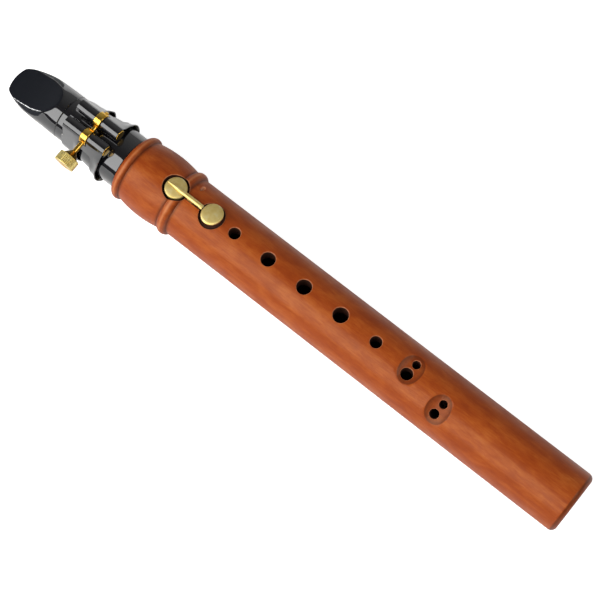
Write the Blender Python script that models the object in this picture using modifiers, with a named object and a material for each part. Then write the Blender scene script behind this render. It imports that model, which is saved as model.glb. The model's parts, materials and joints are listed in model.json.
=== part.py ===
"""A small clarinet with one key, built from its separate pieces.

The instrument is drawn upright: the foot stands at z = 0, the mouthpiece's tip is at the top,
and the side with the finger holes looks towards -Y. An empty then lays it on its back, so that
in the world the tip points to +X, the finger holes look up and the lowest point is at z = 0.
Heights along the pipe are called stations, and distances from its axis are called depths or reaches.
"""
import bmesh
import bpy
from math import acos, atan2, cos, degrees, hypot, pi, radians, sin, sqrt

MM = 0.001

# Clearances between pieces
SEAT_GAP = 0.30 * MM
SEAM = 0.15 * MM
RUNNING_GAP = 0.20 * MM

# Wooden body
BODY_LENGTH = 237.5 * MM
BODY_RADIUS = 14.25 * MM
BORE_RADIUS = 6.5 * MM
FOOT_ROUND = 2.7 * MM
SOCKET_DEPTH = 16.0 * MM
# How far the turned rings stand proud of the pipe, and where the lower bead is below the top
RING_PROUD = 1.65 * MM
GROOVE_PROUD = 0.5 * MM
RIM_ROUND = 2.25 * MM
LOWER_BEAD_ROUND = 3.0 * MM
LOWER_BEAD_BELOW_TOP = 28.2 * MM

# Finger holes on the front: how far below the pipe's top, diameter
FINGER_HOLES = (
    (58.2 * MM, 5.3 * MM),
    (76.5 * MM, 6.4 * MM),
    (95.9 * MM, 6.7 * MM),
    (115.4 * MM, 6.9 * MM),
    (134.0 * MM, 5.3 * MM),
)
# Double holes: below the top, turn round the pipe in degrees, large and small diameter, wood between them
DOUBLE_HOLES = (
    (152.4 * MM, 0.0, 5.4 * MM, 3.7 * MM, 1.0 * MM),
    (171.2 * MM, -27.3, 4.3 * MM, 3.7 * MM, 1.4 * MM),
)
DOUBLE_SKEW = 0.8 * MM
SCOOP_DEPTH = 1.8 * MM
SCOOP_RADIUS = 8.7 * MM
THUMB_BELOW_TOP = 49.0 * MM
THUMB_DIAMETER = 6.0 * MM

# Key
KEY_HOLE_BELOW_TOP = 25.8 * MM
KEY_HOLE_DIAMETER = 5.5 * MM
PIVOT_BELOW_TOP = 34.2 * MM
PIVOT_DEPTH = 2.25 * MM
PIVOT_DIAMETER = 1.6 * MM
PIN_SHORT = 0.1 * MM
PIN_BLIND = 1.2 * MM
TOUCH_BELOW_TOP = 45.8 * MM
TOUCH_DIAMETER = 9.9 * MM
TOUCH_THICKNESS = 1.3 * MM
TOUCH_CROWN = 0.3 * MM
TOUCH_RISE = 2.55 * MM
TOUCH_TILT = 9.0
TOUCH_MARGIN = 0.9 * MM
TOUCH_RECESS_DEPTH = 2.05 * MM
ARM_RISE = 1.0 * MM
ARM_THICKNESS = 1.1 * MM
ARM_WIDTH = 2.1 * MM
ARM_POINT_WIDTH = 0.5 * MM
ARM_TAPER = 7.0 * MM
CHANNEL_DEPTH = 1.1 * MM
CUP_DIAMETER = 9.9 * MM
CUP_HEIGHT = 2.0 * MM
CUP_CROWN = 0.35 * MM
CUP_WALL = 0.55 * MM
PAD_THICKNESS = 1.7 * MM
CUP_MARGIN = 1.0 * MM
SEAT_HEIGHT = 0.9 * MM
SEAT_WIDTH = 1.1 * MM
LUG_LENGTH = 3.0 * MM
SPRING_THICKNESS = 0.25 * MM
SPRING_WIDTH = 1.8 * MM
SPRING_REACH = 9.2 * MM
SPRING_BOW = 0.4 * MM
RIVET_DIAMETER = 0.8 * MM
RIVET_HEAD_DIAMETER = 1.5 * MM
RIVET_HEAD_HEIGHT = 0.4 * MM
RIVET_DEPTH = 0.6 * MM

# Mouthpiece, measured from its shoulder towards the tip. It sits turned in the socket, in degrees
MOUTHPIECE_TURN = 6.0
MOUTHPIECE_LENGTH = 71.0 * MM
SHANK_RADIUS = 13.2 * MM
BARREL_RADIUS = 10.8 * MM
TAPER_START = 8.0 * MM
TAPER_END = 32.0 * MM
SHOULDER_ROUND = 0.5 * MM
BEAK_LENGTH = 30.3 * MM
BEAK_HOLLOW = 0.45 * MM
TIP_THICKNESS = 0.8 * MM
TIP_WIDTH = 14.0 * MM
TIP_ROUND = 13.0 * MM
TIP_CORNER = 2.2 * MM
NARROWING_LENGTH = 27.8 * MM
NARROWING_WIDTH = 22.4 * MM
NARROWING_CURVE = 2.5
TABLE_CUT = 2.2 * MM
TABLE_START = 2.9 * MM
FACING_LENGTH = 18.5 * MM
TIP_OPENING = 1.1 * MM
WINDOW_LENGTH = 30.5 * MM
WINDOW_WIDTH = 10.5 * MM
WINDOW_RAMP = 4.5 * MM
BAFFLE_RAMP = 2.5 * MM
CHAMBER_OVERLAP = 2.0 * MM
TIP_RAIL = 1.7 * MM
MOUTHPIECE_BORE_RADIUS = 7.3 * MM
CHAMBER_START = 25.0 * MM
TENON_RADIUS = 10.7 * MM
TENON_END_GAP = 0.7 * MM
CORK_THICKNESS = 0.75 * MM
CORK_GROOVE_DEPTH = 0.8 * MM
CORK_MARGIN = 2.0 * MM

# Reed, measured from its heel
REED_FROM_TABLE_START = 0.5 * MM
REED_HEEL_WIDTH = 11.6 * MM
REED_TIP_WIDTH = 13.0 * MM
REED_THICKNESS = 2.9 * MM
REED_EDGE_THICKNESS = 2.0 * MM
REED_TIP_THICKNESS = 0.3 * MM
REED_VAMP = 33.5 * MM
REED_SHOULDER = 0.4 * MM
REED_CURVE = 1.35
REED_SHORT_OF_TIP = 0.4 * MM

# Ligature, measured from the mouthpiece's shoulder
TUBE_REAR = 7.5 * MM
BAND_REAR = 9.0 * MM
BAND_FRONT = 31.0 * MM
BAND_THICKNESS = 0.45 * MM
BAND_FLARE = 1.25 * MM
FLARE_LENGTH = 3.4 * MM
LOBE_FADE = 30.0
LOBE_EDGE = 20.7 * MM
LOBE_STEP = 0.9 * MM
WAIST_LENGTH = 7.6 * MM
WAIST_CORNER = 1.6 * MM
FRONT_LAP = 1.0 * MM
TUBE_RADIUS = 3.2 * MM
TUBE_SPACING = 9.0 * MM
TUBE_LENGTH = 22.3 * MM
POST_FIT = 0.25 * MM
POST_PROUD = 0.2 * MM
POST_EASE = 0.3 * MM
COLLAR_STEP = 1.25 * MM
COLLAR_LENGTH = 3.4 * MM
SCREW_STATION = 18.4 * MM
SCREW_RADIUS = 1.1 * MM
SCREW_TIP_PROUD = 0.9 * MM
SCREW_NECK = 5.2 * MM
SCREW_CONE_LENGTH = 2.5 * MM
SCREW_CONE_RADIUS = 3.7 * MM
SCREW_HEAD_RADIUS = 4.8 * MM
SCREW_HEAD_LENGTH = 4.6 * MM
SCREW_EASE = 0.5 * MM
KNURL_DEPTH = 0.16 * MM
KNURLS = 30

# Facets
BODY_SIDES = 48
SMALL_SIDES = 24
FINE_SIDES = 20
BARK_SIDES = 96
SHARP_ANGLE = 32.0
ROLL_STEPS = 12
WEB_STEPS = 3
ROUND_STEPS = 7
BARK_STEPS = 4

# Places that follow from the sizes above
RIM_CREST = BODY_RADIUS + RING_PROUD
GROOVE_RADIUS = BODY_RADIUS + GROOVE_PROUD
LOWER_BEAD_STATION = BODY_LENGTH - LOWER_BEAD_BELOW_TOP
KEY_HOLE_STATION = BODY_LENGTH - KEY_HOLE_BELOW_TOP
PIVOT_STATION = BODY_LENGTH - PIVOT_BELOW_TOP
TOUCH_STATION = BODY_LENGTH - TOUCH_BELOW_TOP
TOUCH_RECESS_RADIUS = TOUCH_DIAMETER / 2 + TOUCH_MARGIN
CUP_SINK_RADIUS = CUP_DIAMETER / 2 + CUP_MARGIN
PIVOT_REACH = BODY_RADIUS - PIVOT_DEPTH
PIN_HOLE_TOP = PIVOT_REACH + PIVOT_DIAMETER / 2 + RUNNING_GAP
PIN_HOLE_END = PIN_BLIND - sqrt(BODY_RADIUS ** 2 - PIN_HOLE_TOP ** 2)
ARM_UNDERSIDE = BODY_RADIUS + ARM_RISE
CUP_TOP = ARM_UNDERSIDE - SEAM
PAD_TOP = CUP_TOP - CUP_CROWN - CUP_WALL - SEAM
PAD_BOTTOM = PAD_TOP - PAD_THICKNESS
SEAT_REACH = PAD_BOTTOM - SEAM
SHOULDER_STATION = BODY_LENGTH + SEAT_GAP
TENON_LENGTH = SOCKET_DEPTH + SEAT_GAP - TENON_END_GAP
CORK_RADIUS = TENON_RADIUS - CORK_GROOVE_DEPTH + SEAT_GAP + CORK_THICKNESS
SOCKET_RADIUS = CORK_RADIUS + SEAT_GAP
BEAK_START = MOUTHPIECE_LENGTH - BEAK_LENGTH
NARROWING_START = MOUTHPIECE_LENGTH - NARROWING_LENGTH
TABLE_DEPTH = BARREL_RADIUS - TABLE_CUT
REED_FLAT = TABLE_DEPTH + SEAT_GAP
REED_HEEL = TABLE_START + REED_FROM_TABLE_START
REED_LENGTH = MOUTHPIECE_LENGTH - REED_SHORT_OF_TIP - REED_HEEL
BARK_SAG = REED_THICKNESS - REED_EDGE_THICKNESS
BARK_RADIUS = ((REED_HEEL_WIDTH / 2) ** 2 + BARK_SAG ** 2) / (2 * BARK_SAG)
TUBE_FRONT = TUBE_REAR + TUBE_LENGTH
TUBE_HEIGHT = sqrt((SHANK_RADIUS + SEAM + TUBE_RADIUS) ** 2 - (TUBE_SPACING / 2) ** 2)
POST_RADIUS = TUBE_RADIUS - BAND_THICKNESS - POST_FIT
COLLAR_RADIUS = POST_RADIUS + COLLAR_STEP
COLLAR_REACH = TUBE_SPACING / 2 + COLLAR_RADIUS
SCREW_REACH = COLLAR_REACH + SCREW_NECK + SCREW_CONE_LENGTH + SCREW_HEAD_LENGTH
TURN = radians(MOUTHPIECE_TURN)
SCREW_SIDE_REACH = SCREW_REACH * cos(TURN) + (TUBE_HEIGHT + SCREW_HEAD_RADIUS) * sin(TURN)
TOTAL_LENGTH = SHOULDER_STATION + MOUTHPIECE_LENGTH
OVERRUN = 2.0 * MM
BEYOND = 30.0 * MM

for old in list(bpy.data.objects):
    bpy.data.objects.remove(old)
parts = bpy.data.collections.new("small_clarinet")
cutters = bpy.data.collections.new("cutters")
bpy.context.scene.collection.children.link(parts)
bpy.context.scene.collection.children.link(cutters)


def material(name, colour, roughness, metallic=0.0):
    """A plain Principled finish."""
    made = bpy.data.materials.new(name)
    made.use_nodes = True
    shader = made.node_tree.nodes["Principled BSDF"]
    shader.inputs["Base Color"].default_value = (*colour, 1.0)
    shader.inputs["Roughness"].default_value = roughness
    shader.inputs["Metallic"].default_value = metallic
    return made


def empty(name, parent=None, location=(0, 0, 0), rotation=(0, 0, 0)):
    """An axis that pieces hang from."""
    made = bpy.data.objects.new(name, None)
    made.empty_display_size = 10 * MM
    made.location = location
    made.rotation_euler = rotation
    made.parent = parent
    parts.objects.link(made)
    return made


def place(piece, parent, location, rotation, finish):
    """Puts a piece in the parts' collection, or among the cutters when it has no finish."""
    piece.parent = parent
    piece.location = location
    piece.rotation_euler = rotation
    if finish is None:
        cutters.objects.link(piece)
        piece.hide_render = True
        piece.display_type = "WIRE"
    else:
        parts.objects.link(piece)
        piece.data.materials.append(finish)
    return piece


def smooth(mesh):
    """Smooth shading, with the edges that turn by more than the limit kept sharp."""
    mesh.shade_smooth()
    mesh.set_sharp_from_angle(angle=radians(SHARP_ANGLE))


def arc(centre, radius, start, end, steps):
    """Points of a circle's arc, from one angle to another in degrees."""
    points = []
    for step in range(steps + 1):
        angle = radians(start + (end - start) * step / steps)
        points.append((centre[0] + radius * cos(angle), centre[1] + radius * sin(angle)))
    return points


def bowed(start, end, sag, steps):
    """A shallow curve between two points, bowed to the left of its way by the sag."""
    (x0, y0), (x1, y1) = start, end
    length = hypot(x1 - x0, y1 - y0)
    across = (-(y1 - y0) / length, (x1 - x0) / length)
    points = []
    for step in range(steps + 1):
        share = step / steps
        off = 4 * sag * share * (1 - share)
        points.append((x0 + (x1 - x0) * share + across[0] * off, y0 + (y1 - y0) * share + across[1] * off))
    return points


def turned(name, profile, sides, parent, location=(0, 0, 0), rotation=(0, 0, 0), finish=None, closed=False):
    """A turned piece: a profile of (radius, height) that runs down its outer side, swept round Z."""
    mesh = bpy.data.meshes.new(name)
    count = len(profile)
    edges = [(i, i + 1) for i in range(count - 1)]
    if closed:
        edges.append((count - 1, 0))
    mesh.from_pydata([(radius, 0, height) for radius, height in profile], edges, [])
    piece = bpy.data.objects.new(name, mesh)
    screw = piece.modifiers.new("turn", "SCREW")
    screw.steps = sides
    screw.render_steps = sides
    screw.use_merge_vertices = True
    screw.merge_threshold = 0.000001
    screw.use_smooth_shade = True
    return place(piece, parent, location, rotation, finish)


def plate(name, outline, thickness, parent, location=(0, 0, 0), rotation=(0, 0, 0), finish=None):
    """A flat outline in XY, filled and extruded by its thickness about z = 0, as a closed mesh."""
    curve = bpy.data.curves.new(name, "CURVE")
    curve.dimensions = "2D"
    curve.fill_mode = "BOTH"
    curve.extrude = thickness / 2
    spline = curve.splines.new("POLY")
    spline.points.add(len(outline) - 1)
    for point, (x, y) in zip(spline.points, outline):
        point.co = (x, y, 0, 1)
    spline.use_cyclic_u = True
    drawn = bpy.data.objects.new(name, curve)
    parts.objects.link(drawn)
    graph = bpy.context.evaluated_depsgraph_get()
    mesh = bpy.data.meshes.new_from_object(drawn.evaluated_get(graph))
    bpy.data.objects.remove(drawn)
    work = bmesh.new()
    work.from_mesh(mesh)
    bmesh.ops.remove_doubles(work, verts=work.verts, dist=0.000001)
    bmesh.ops.recalc_face_normals(work, faces=work.faces)
    work.to_mesh(mesh)
    work.free()
    mesh.materials.clear()
    smooth(mesh)
    piece = bpy.data.objects.new(name, mesh)
    return place(piece, parent, location, rotation, finish)


def rod(name, radius, bottom, top, sides, parent, location=(0, 0, 0), rotation=(0, 0, 0), finish=None):
    """A plain round rod along its own Z."""
    profile = [(0, top), (radius, top), (radius, bottom), (0, bottom)]
    return turned(name, profile, sides, parent, location, rotation, finish)


def combine(piece, tool, operation="DIFFERENCE"):
    """A Boolean of one piece with a cutter."""
    step = piece.modifiers.new(operation.lower() + "_" + tool.name, "BOOLEAN")
    step.operation = operation
    step.solver = "EXACT"
    step.object = tool


# The direction of a hole through the pipe's wall: its own Z points out of the front
OUT_OF_FRONT = (radians(90), 0, 0)
OUT_OF_BACK = (radians(-90), 0, 0)
# A side view is drawn in XY with X up the pipe and Y out of the front, and extruded across the pipe
SIDE_VIEW = (radians(180), radians(-90), 0)
# A plan is drawn in XY with X across and Y up the pipe, and extruded from front to back
PLAN_VIEW = (radians(90), 0, 0)
# A part that lies across the pipe: its own Z points to +X
ACROSS = (0, radians(90), 0)

LAID_X = -TOTAL_LENGTH / 2
LAID_Y = -(SCREW_SIDE_REACH - RIM_CREST) / 2
laid_down = empty("laid_down", None, (LAID_X, LAID_Y, RIM_CREST), (radians(-90), 0, radians(-90)))
mouthpiece_axis = empty("mouthpiece_axis", laid_down, (0, 0, SHOULDER_STATION), (0, 0, -TURN))
key_axis = empty("key_axis", laid_down, (0, -PIVOT_REACH, PIVOT_STATION))

pear_wood = material("pear_wood", (0.36, 0.10, 0.035), 0.38)
black_resin = material("black_resin", (0.012, 0.012, 0.014), 0.16)
cork = material("cork", (0.62, 0.42, 0.24), 0.85)
cane = material("cane", (0.78, 0.62, 0.30), 0.5)
black_lacquer = material("black_lacquer", (0.014, 0.014, 0.016), 0.14)
screw_brass = material("screw_brass", (0.83, 0.58, 0.16), 0.24, 1.0)
key_brass = material("key_brass", (0.80, 0.68, 0.38), 0.3, 1.0)
pad_skin = material("pad_skin", (0.85, 0.80, 0.68), 0.7)
blue_steel = material("blue_steel", (0.16, 0.19, 0.27), 0.3, 1.0)
pin_steel = material("pin_steel", (0.45, 0.44, 0.43), 0.3, 1.0)


def body_profile():
    """The outside from the rim down to the foot, and back up through the bore and the socket."""
    rim_centre = (RIM_CREST - RIM_ROUND, BODY_LENGTH - RIM_ROUND)
    rim_end = -degrees(acos((GROOVE_RADIUS - rim_centre[0]) / RIM_ROUND))
    rim = arc(rim_centre, RIM_ROUND, 90, rim_end, 8)
    bead_centre = (RIM_CREST - LOWER_BEAD_ROUND, LOWER_BEAD_STATION)
    bead_top = degrees(acos((GROOVE_RADIUS - bead_centre[0]) / LOWER_BEAD_ROUND))
    bead_bottom = -degrees(acos((BODY_RADIUS - bead_centre[0]) / LOWER_BEAD_ROUND))
    bead = arc(bead_centre, LOWER_BEAD_ROUND, bead_top, bead_bottom, 7)
    bulb_top = rim[-1][1]
    bulb_bottom = bead[0][1]
    bulb = []
    steps = 8
    for step in range(1, steps):
        share = step / steps
        swell = 4 * share * (1 - share) * (RIM_CREST - GROOVE_RADIUS)
        bulb.append((GROOVE_RADIUS + swell, bulb_top + (bulb_bottom - bulb_top) * share))
    foot = arc((BODY_RADIUS - FOOT_ROUND, FOOT_ROUND), FOOT_ROUND, 0, -90, 4)
    inside = [(BORE_RADIUS, 0), (BORE_RADIUS, BODY_LENGTH - SOCKET_DEPTH)]
    inside.append((SOCKET_RADIUS, BODY_LENGTH - SOCKET_DEPTH))
    inside.append((SOCKET_RADIUS, BODY_LENGTH))
    return rim + bulb + bead + foot + inside


def drill(name, station, diameter, turn=0.0, across=0.0, from_back=False):
    """A hole from the bore out through the wall."""
    rotation = OUT_OF_BACK if from_back else OUT_OF_FRONT
    rotation = (rotation[0], 0, radians(turn))
    side = (across * cos(radians(turn)), across * sin(radians(turn)), station)
    return rod(name, diameter / 2, 0, BODY_RADIUS + BEYOND, FINE_SIDES, laid_down, side, rotation)


def double_hole(body, number, station, turn, large, small, bridge):
    """Two holes side by side in a hollow that a drum across the pipe has scooped."""
    reach = BODY_RADIUS - SCOOP_DEPTH + SCOOP_RADIUS
    around = radians(turn)
    centre = (reach * sin(around), -reach * cos(around), station)
    scoop = rod(f"scoop_{number}", SCOOP_RADIUS, -BEYOND, BEYOND, BODY_SIDES, laid_down, centre,
                (0, radians(90), around))
    combine(body, scoop)
    large_side = -(small + bridge) / 2
    small_side = (large + bridge) / 2
    combine(body, drill(f"hole_{number}_large", station + DOUBLE_SKEW / 2, large, turn, large_side))
    combine(body, drill(f"hole_{number}_small", station - DOUBLE_SKEW / 2, small, turn, small_side))


def key_cuts(body):
    """The sinking for the pad cup with its seat, the touch's recess, the arm's channel and the pin's hole."""
    hole = KEY_HOLE_DIAMETER / 2
    sink = CUP_SINK_RADIUS
    outside = BODY_RADIUS + BEYOND
    profile = [(0, outside), (sink, outside), (sink, SEAT_REACH - SEAT_HEIGHT)]
    profile.append((hole + SEAT_WIDTH, SEAT_REACH - SEAT_HEIGHT))
    profile.append((hole + SEAT_WIDTH * 0.65, SEAT_REACH))
    profile += [(hole, SEAT_REACH), (hole, 0), (0, 0)]
    combine(body, turned("pad_sink", profile, SMALL_SIDES, laid_down, (0, 0, KEY_HOLE_STATION), OUT_OF_FRONT))
    recess = rod("touch_recess", TOUCH_RECESS_RADIUS, BODY_RADIUS - TOUCH_RECESS_DEPTH, outside,
                 SMALL_SIDES, laid_down, (0, 0, TOUCH_STATION + SEAM), OUT_OF_FRONT)
    combine(body, recess)
    floor = BODY_RADIUS - CHANNEL_DEPTH
    channel = [(TOUCH_STATION, outside), (TOUCH_STATION, floor), (KEY_HOLE_STATION, floor)]
    channel.append((KEY_HOLE_STATION, outside))
    combine(body, plate("arm_channel", channel, ARM_WIDTH + 2 * SEAT_GAP, laid_down, (0, 0, 0), SIDE_VIEW))
    slot_floor = PIVOT_REACH - LUG_LENGTH / 2 - SEAT_GAP
    low = PIVOT_STATION - LUG_LENGTH / 2 - 2 * SEAT_GAP
    high = PIVOT_STATION + LUG_LENGTH / 2 + SEAT_GAP
    slot = [(low, outside), (low, slot_floor), (high, slot_floor), (high, outside)]
    combine(body, plate("lug_slot", slot, ARM_WIDTH + 2 * RUNNING_GAP, laid_down, (0, 0, 0), SIDE_VIEW))
    pin_hole = rod("pin_hole", PIVOT_DIAMETER / 2 + RUNNING_GAP, PIN_HOLE_END, BEYOND, FINE_SIDES, laid_down,
                   (0, -PIVOT_REACH, PIVOT_STATION), ACROSS)
    combine(body, pin_hole)


def make_body():
    half_facet = (0, 0, pi / BODY_SIDES)
    body = turned("body", body_profile(), BODY_SIDES, laid_down, rotation=half_facet, finish=pear_wood,
                  closed=True)
    for number, (below, diameter) in enumerate(FINGER_HOLES, 1):
        combine(body, drill(f"hole_{number}", BODY_LENGTH - below, diameter))
    for number, (below, *sizes) in enumerate(DOUBLE_HOLES, len(FINGER_HOLES) + 1):
        double_hole(body, number, BODY_LENGTH - below, *sizes)
    combine(body, drill("thumb_hole_drill", BODY_LENGTH - THUMB_BELOW_TOP, THUMB_DIAMETER, from_back=True))
    key_cuts(body)
    return body


def mouthpiece_radius(height):
    """The round part's radius: a straight shank, a smooth taper and a straight front."""
    share = min(1, max(0, (height - TAPER_START) / (TAPER_END - TAPER_START)))
    return SHANK_RADIUS + (BARREL_RADIUS - SHANK_RADIUS) * share * share * (3 - 2 * share)


def mouthpiece_blank():
    """The turned blank, from beyond the tip down to the tenon's end."""
    profile = [(0, MOUTHPIECE_LENGTH + BEYOND), (BARREL_RADIUS, MOUTHPIECE_LENGTH + BEYOND)]
    steps = 8
    for step in range(steps + 1):
        height = TAPER_END + (TAPER_START - TAPER_END) * step / steps
        profile.append((mouthpiece_radius(height), height))
    profile += arc((SHANK_RADIUS - SHOULDER_ROUND, SHOULDER_ROUND), SHOULDER_ROUND, 0, -90, 3)
    groove = TENON_RADIUS - CORK_GROOVE_DEPTH
    profile += [(TENON_RADIUS, 0), (TENON_RADIUS, -CORK_MARGIN), (groove, -CORK_MARGIN)]
    profile += [(groove, CORK_MARGIN - TENON_LENGTH), (TENON_RADIUS, CORK_MARGIN - TENON_LENGTH)]
    profile += [(TENON_RADIUS, SHOULDER_ROUND - TENON_LENGTH)]
    profile += [(TENON_RADIUS - SHOULDER_ROUND, -TENON_LENGTH), (0, -TENON_LENGTH)]
    return profile


def mouthpiece_plan():
    """The plan seen from the front: straight sides that draw in towards a rounded tip."""
    half_tip = TIP_WIDTH / 2
    corner_top = MOUTHPIECE_LENGTH - (TIP_ROUND - sqrt(TIP_ROUND ** 2 - half_tip ** 2))
    corner_end = corner_top - TIP_CORNER / 2
    right = []
    steps = 7
    for step in range(steps + 1):
        share = step / steps
        height = NARROWING_START + (corner_end - NARROWING_START) * share
        half = NARROWING_WIDTH / 2 - (NARROWING_WIDTH / 2 - half_tip) * share ** NARROWING_CURVE
        right.append((half, height))
    centre = (0, MOUTHPIECE_LENGTH - TIP_ROUND)
    inner = half_tip - TIP_CORNER / 2
    start = degrees(acos(inner / TIP_ROUND))
    tip = arc(centre, TIP_ROUND, start, 180 - start, 10)
    left = [(-x, y) for x, y in reversed(right)]
    wide = NARROWING_WIDTH
    return [(-wide, -BEYOND), (wide, -BEYOND), (wide, NARROWING_START)] + right + tip + left + [
        (-wide, NARROWING_START)]


def beak_end():
    """The height of the beak's face above the axis at the tip."""
    return -TABLE_DEPTH + TIP_OPENING + TIP_THICKNESS


def beak_outline():
    """Side view of what is cut off above the beak's face."""
    start = (BEAK_START, BARREL_RADIUS)
    end = (MOUTHPIECE_LENGTH, beak_end())
    slope = (start[1] - end[1]) / (end[0] - start[0])
    run = 2 * OVERRUN
    face = bowed(start, end, -BEAK_HOLLOW, 8)[:-1]
    before = (start[0] - run, start[1] + run * slope)
    after = (end[0] + run, end[1] - run * slope)
    top = SHANK_RADIUS + BEYOND
    return [before] + face + [after, (end[0] + BEYOND, after[1]), (end[0] + BEYOND, top), (before[0], top)]


def table_outline():
    """Side view of what is cut off below the flat table and the facing that curves away to the tip."""
    facing_start = MOUTHPIECE_LENGTH - FACING_LENGTH
    outline = [(TABLE_START, -TABLE_DEPTH)]
    steps = 6
    for step in range(steps + 1):
        share = step / steps * (1 + OVERRUN / FACING_LENGTH)
        outline.append((facing_start + FACING_LENGTH * share, -TABLE_DEPTH + TIP_OPENING * share * share))
    outline += [(outline[-1][0], -BEYOND), (TABLE_START, -BEYOND)]
    return outline


def chamber_outline():
    """Side view of the window, the sloping baffle over it and the chamber that joins the bore."""
    tip_rail = MOUTHPIECE_LENGTH - TIP_RAIL
    window_end = tip_rail - WINDOW_LENGTH
    roof = MOUTHPIECE_BORE_RADIUS * 0.85
    floor = -MOUTHPIECE_BORE_RADIUS * 0.9
    baffle_start = (tip_rail, beak_end() - TIP_THICKNESS * 0.75)
    baffle_end = (window_end + BAFFLE_RAMP, roof)
    outline = [(tip_rail, -TABLE_DEPTH - BEYOND), baffle_start]
    outline += bowed(baffle_start, baffle_end, BEAK_HOLLOW, 4)[1:]
    outline += [(CHAMBER_START, roof), (CHAMBER_START, floor), (window_end - WINDOW_RAMP, floor)]
    outline += [(window_end, -TABLE_DEPTH), (window_end, -TABLE_DEPTH - BEYOND)]
    return outline


def make_mouthpiece():
    piece = turned("mouthpiece", mouthpiece_blank(), BODY_SIDES, mouthpiece_axis, finish=black_resin)
    plan = plate("mouthpiece_plan", mouthpiece_plan(), 2 * BEYOND, mouthpiece_axis, rotation=PLAN_VIEW)
    combine(piece, plan, "INTERSECT")
    across = 2 * BEYOND
    combine(piece, plate("beak_cut", beak_outline(), across, mouthpiece_axis, rotation=SIDE_VIEW))
    combine(piece, plate("table_cut", table_outline(), across, mouthpiece_axis, rotation=SIDE_VIEW))
    bore_end = CHAMBER_START + CHAMBER_OVERLAP
    bore = rod("mouthpiece_bore", MOUTHPIECE_BORE_RADIUS, -TENON_LENGTH - BEYOND, bore_end, SMALL_SIDES,
               mouthpiece_axis)
    combine(piece, bore)
    combine(piece, plate("chamber_cut", chamber_outline(), WINDOW_WIDTH, mouthpiece_axis, rotation=SIDE_VIEW))
    return piece


def make_tenon_cork():
    inner = TENON_RADIUS - CORK_GROOVE_DEPTH + SEAT_GAP
    top = -CORK_MARGIN - SEAT_GAP
    bottom = CORK_MARGIN + SEAT_GAP - TENON_LENGTH
    ease = CORK_THICKNESS / 3
    profile = [(inner, top), (CORK_RADIUS - ease, top), (CORK_RADIUS, top - ease)]
    profile += [(CORK_RADIUS, bottom + ease), (CORK_RADIUS - ease, bottom), (inner, bottom)]
    return turned("tenon_cork", profile, BODY_SIDES, mouthpiece_axis, finish=cork, closed=True)


def make_reed():
    """A cane blade: its plan, cut to its side view and to the round of its bark."""
    half_heel = REED_HEEL_WIDTH / 2
    half_tip = REED_TIP_WIDTH / 2
    top = REED_HEEL + REED_LENGTH
    shoulder = top - (TIP_ROUND - sqrt(TIP_ROUND ** 2 - half_tip ** 2))
    start = degrees(acos((half_tip - TIP_CORNER / 4) / TIP_ROUND))
    tip = arc((0, top - TIP_ROUND), TIP_ROUND, start, 180 - start, 10)
    plan = [(-half_heel, REED_HEEL), (half_heel, REED_HEEL), (half_tip, shoulder - TIP_CORNER / 2)]
    plan += tip + [(-half_tip, shoulder - TIP_CORNER / 2)]
    reed = plate("reed", plan, 2 * BEYOND, mouthpiece_axis, rotation=PLAN_VIEW, finish=cane)
    vamp_start = top - REED_VAMP
    below = -REED_FLAT - REED_THICKNESS - OVERRUN
    side = [(REED_HEEL - BEYOND, -REED_FLAT), (REED_HEEL - BEYOND, below), (vamp_start, below)]
    side.append((vamp_start, -REED_FLAT - REED_THICKNESS))
    steps = 8
    for step in range(1, steps + 1):
        share = step / steps
        left = (REED_THICKNESS - REED_SHOULDER - REED_TIP_THICKNESS) * (1 - share) ** REED_CURVE
        side.append((vamp_start + REED_VAMP * share, -REED_FLAT - REED_TIP_THICKNESS - left))
    side += [(top + OVERRUN, -REED_FLAT - REED_TIP_THICKNESS), (top + OVERRUN, -REED_FLAT)]
    combine(reed, plate("reed_side", side, 2 * BEYOND, mouthpiece_axis, rotation=SIDE_VIEW), "INTERSECT")
    bark_centre = REED_FLAT + REED_THICKNESS - BARK_RADIUS
    bark = rod("reed_bark", BARK_RADIUS, REED_HEEL - OVERRUN, top + OVERRUN, BARK_SIDES, mouthpiece_axis,
               (0, bark_centre, 0))
    combine(reed, bark, "INTERSECT")
    return reed


def reed_corner(height):
    """The reed's upper corner at one height, as its distance and its direction from the back."""
    half = REED_HEEL_WIDTH / 2 + (REED_TIP_WIDTH - REED_HEEL_WIDTH) / 2 * (height - REED_HEEL) / REED_LENGTH
    sag = BARK_RADIUS - sqrt(BARK_RADIUS ** 2 - half ** 2)
    depth = REED_FLAT + REED_THICKNESS - sag
    return hypot(half, depth), atan2(half, depth)


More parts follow.
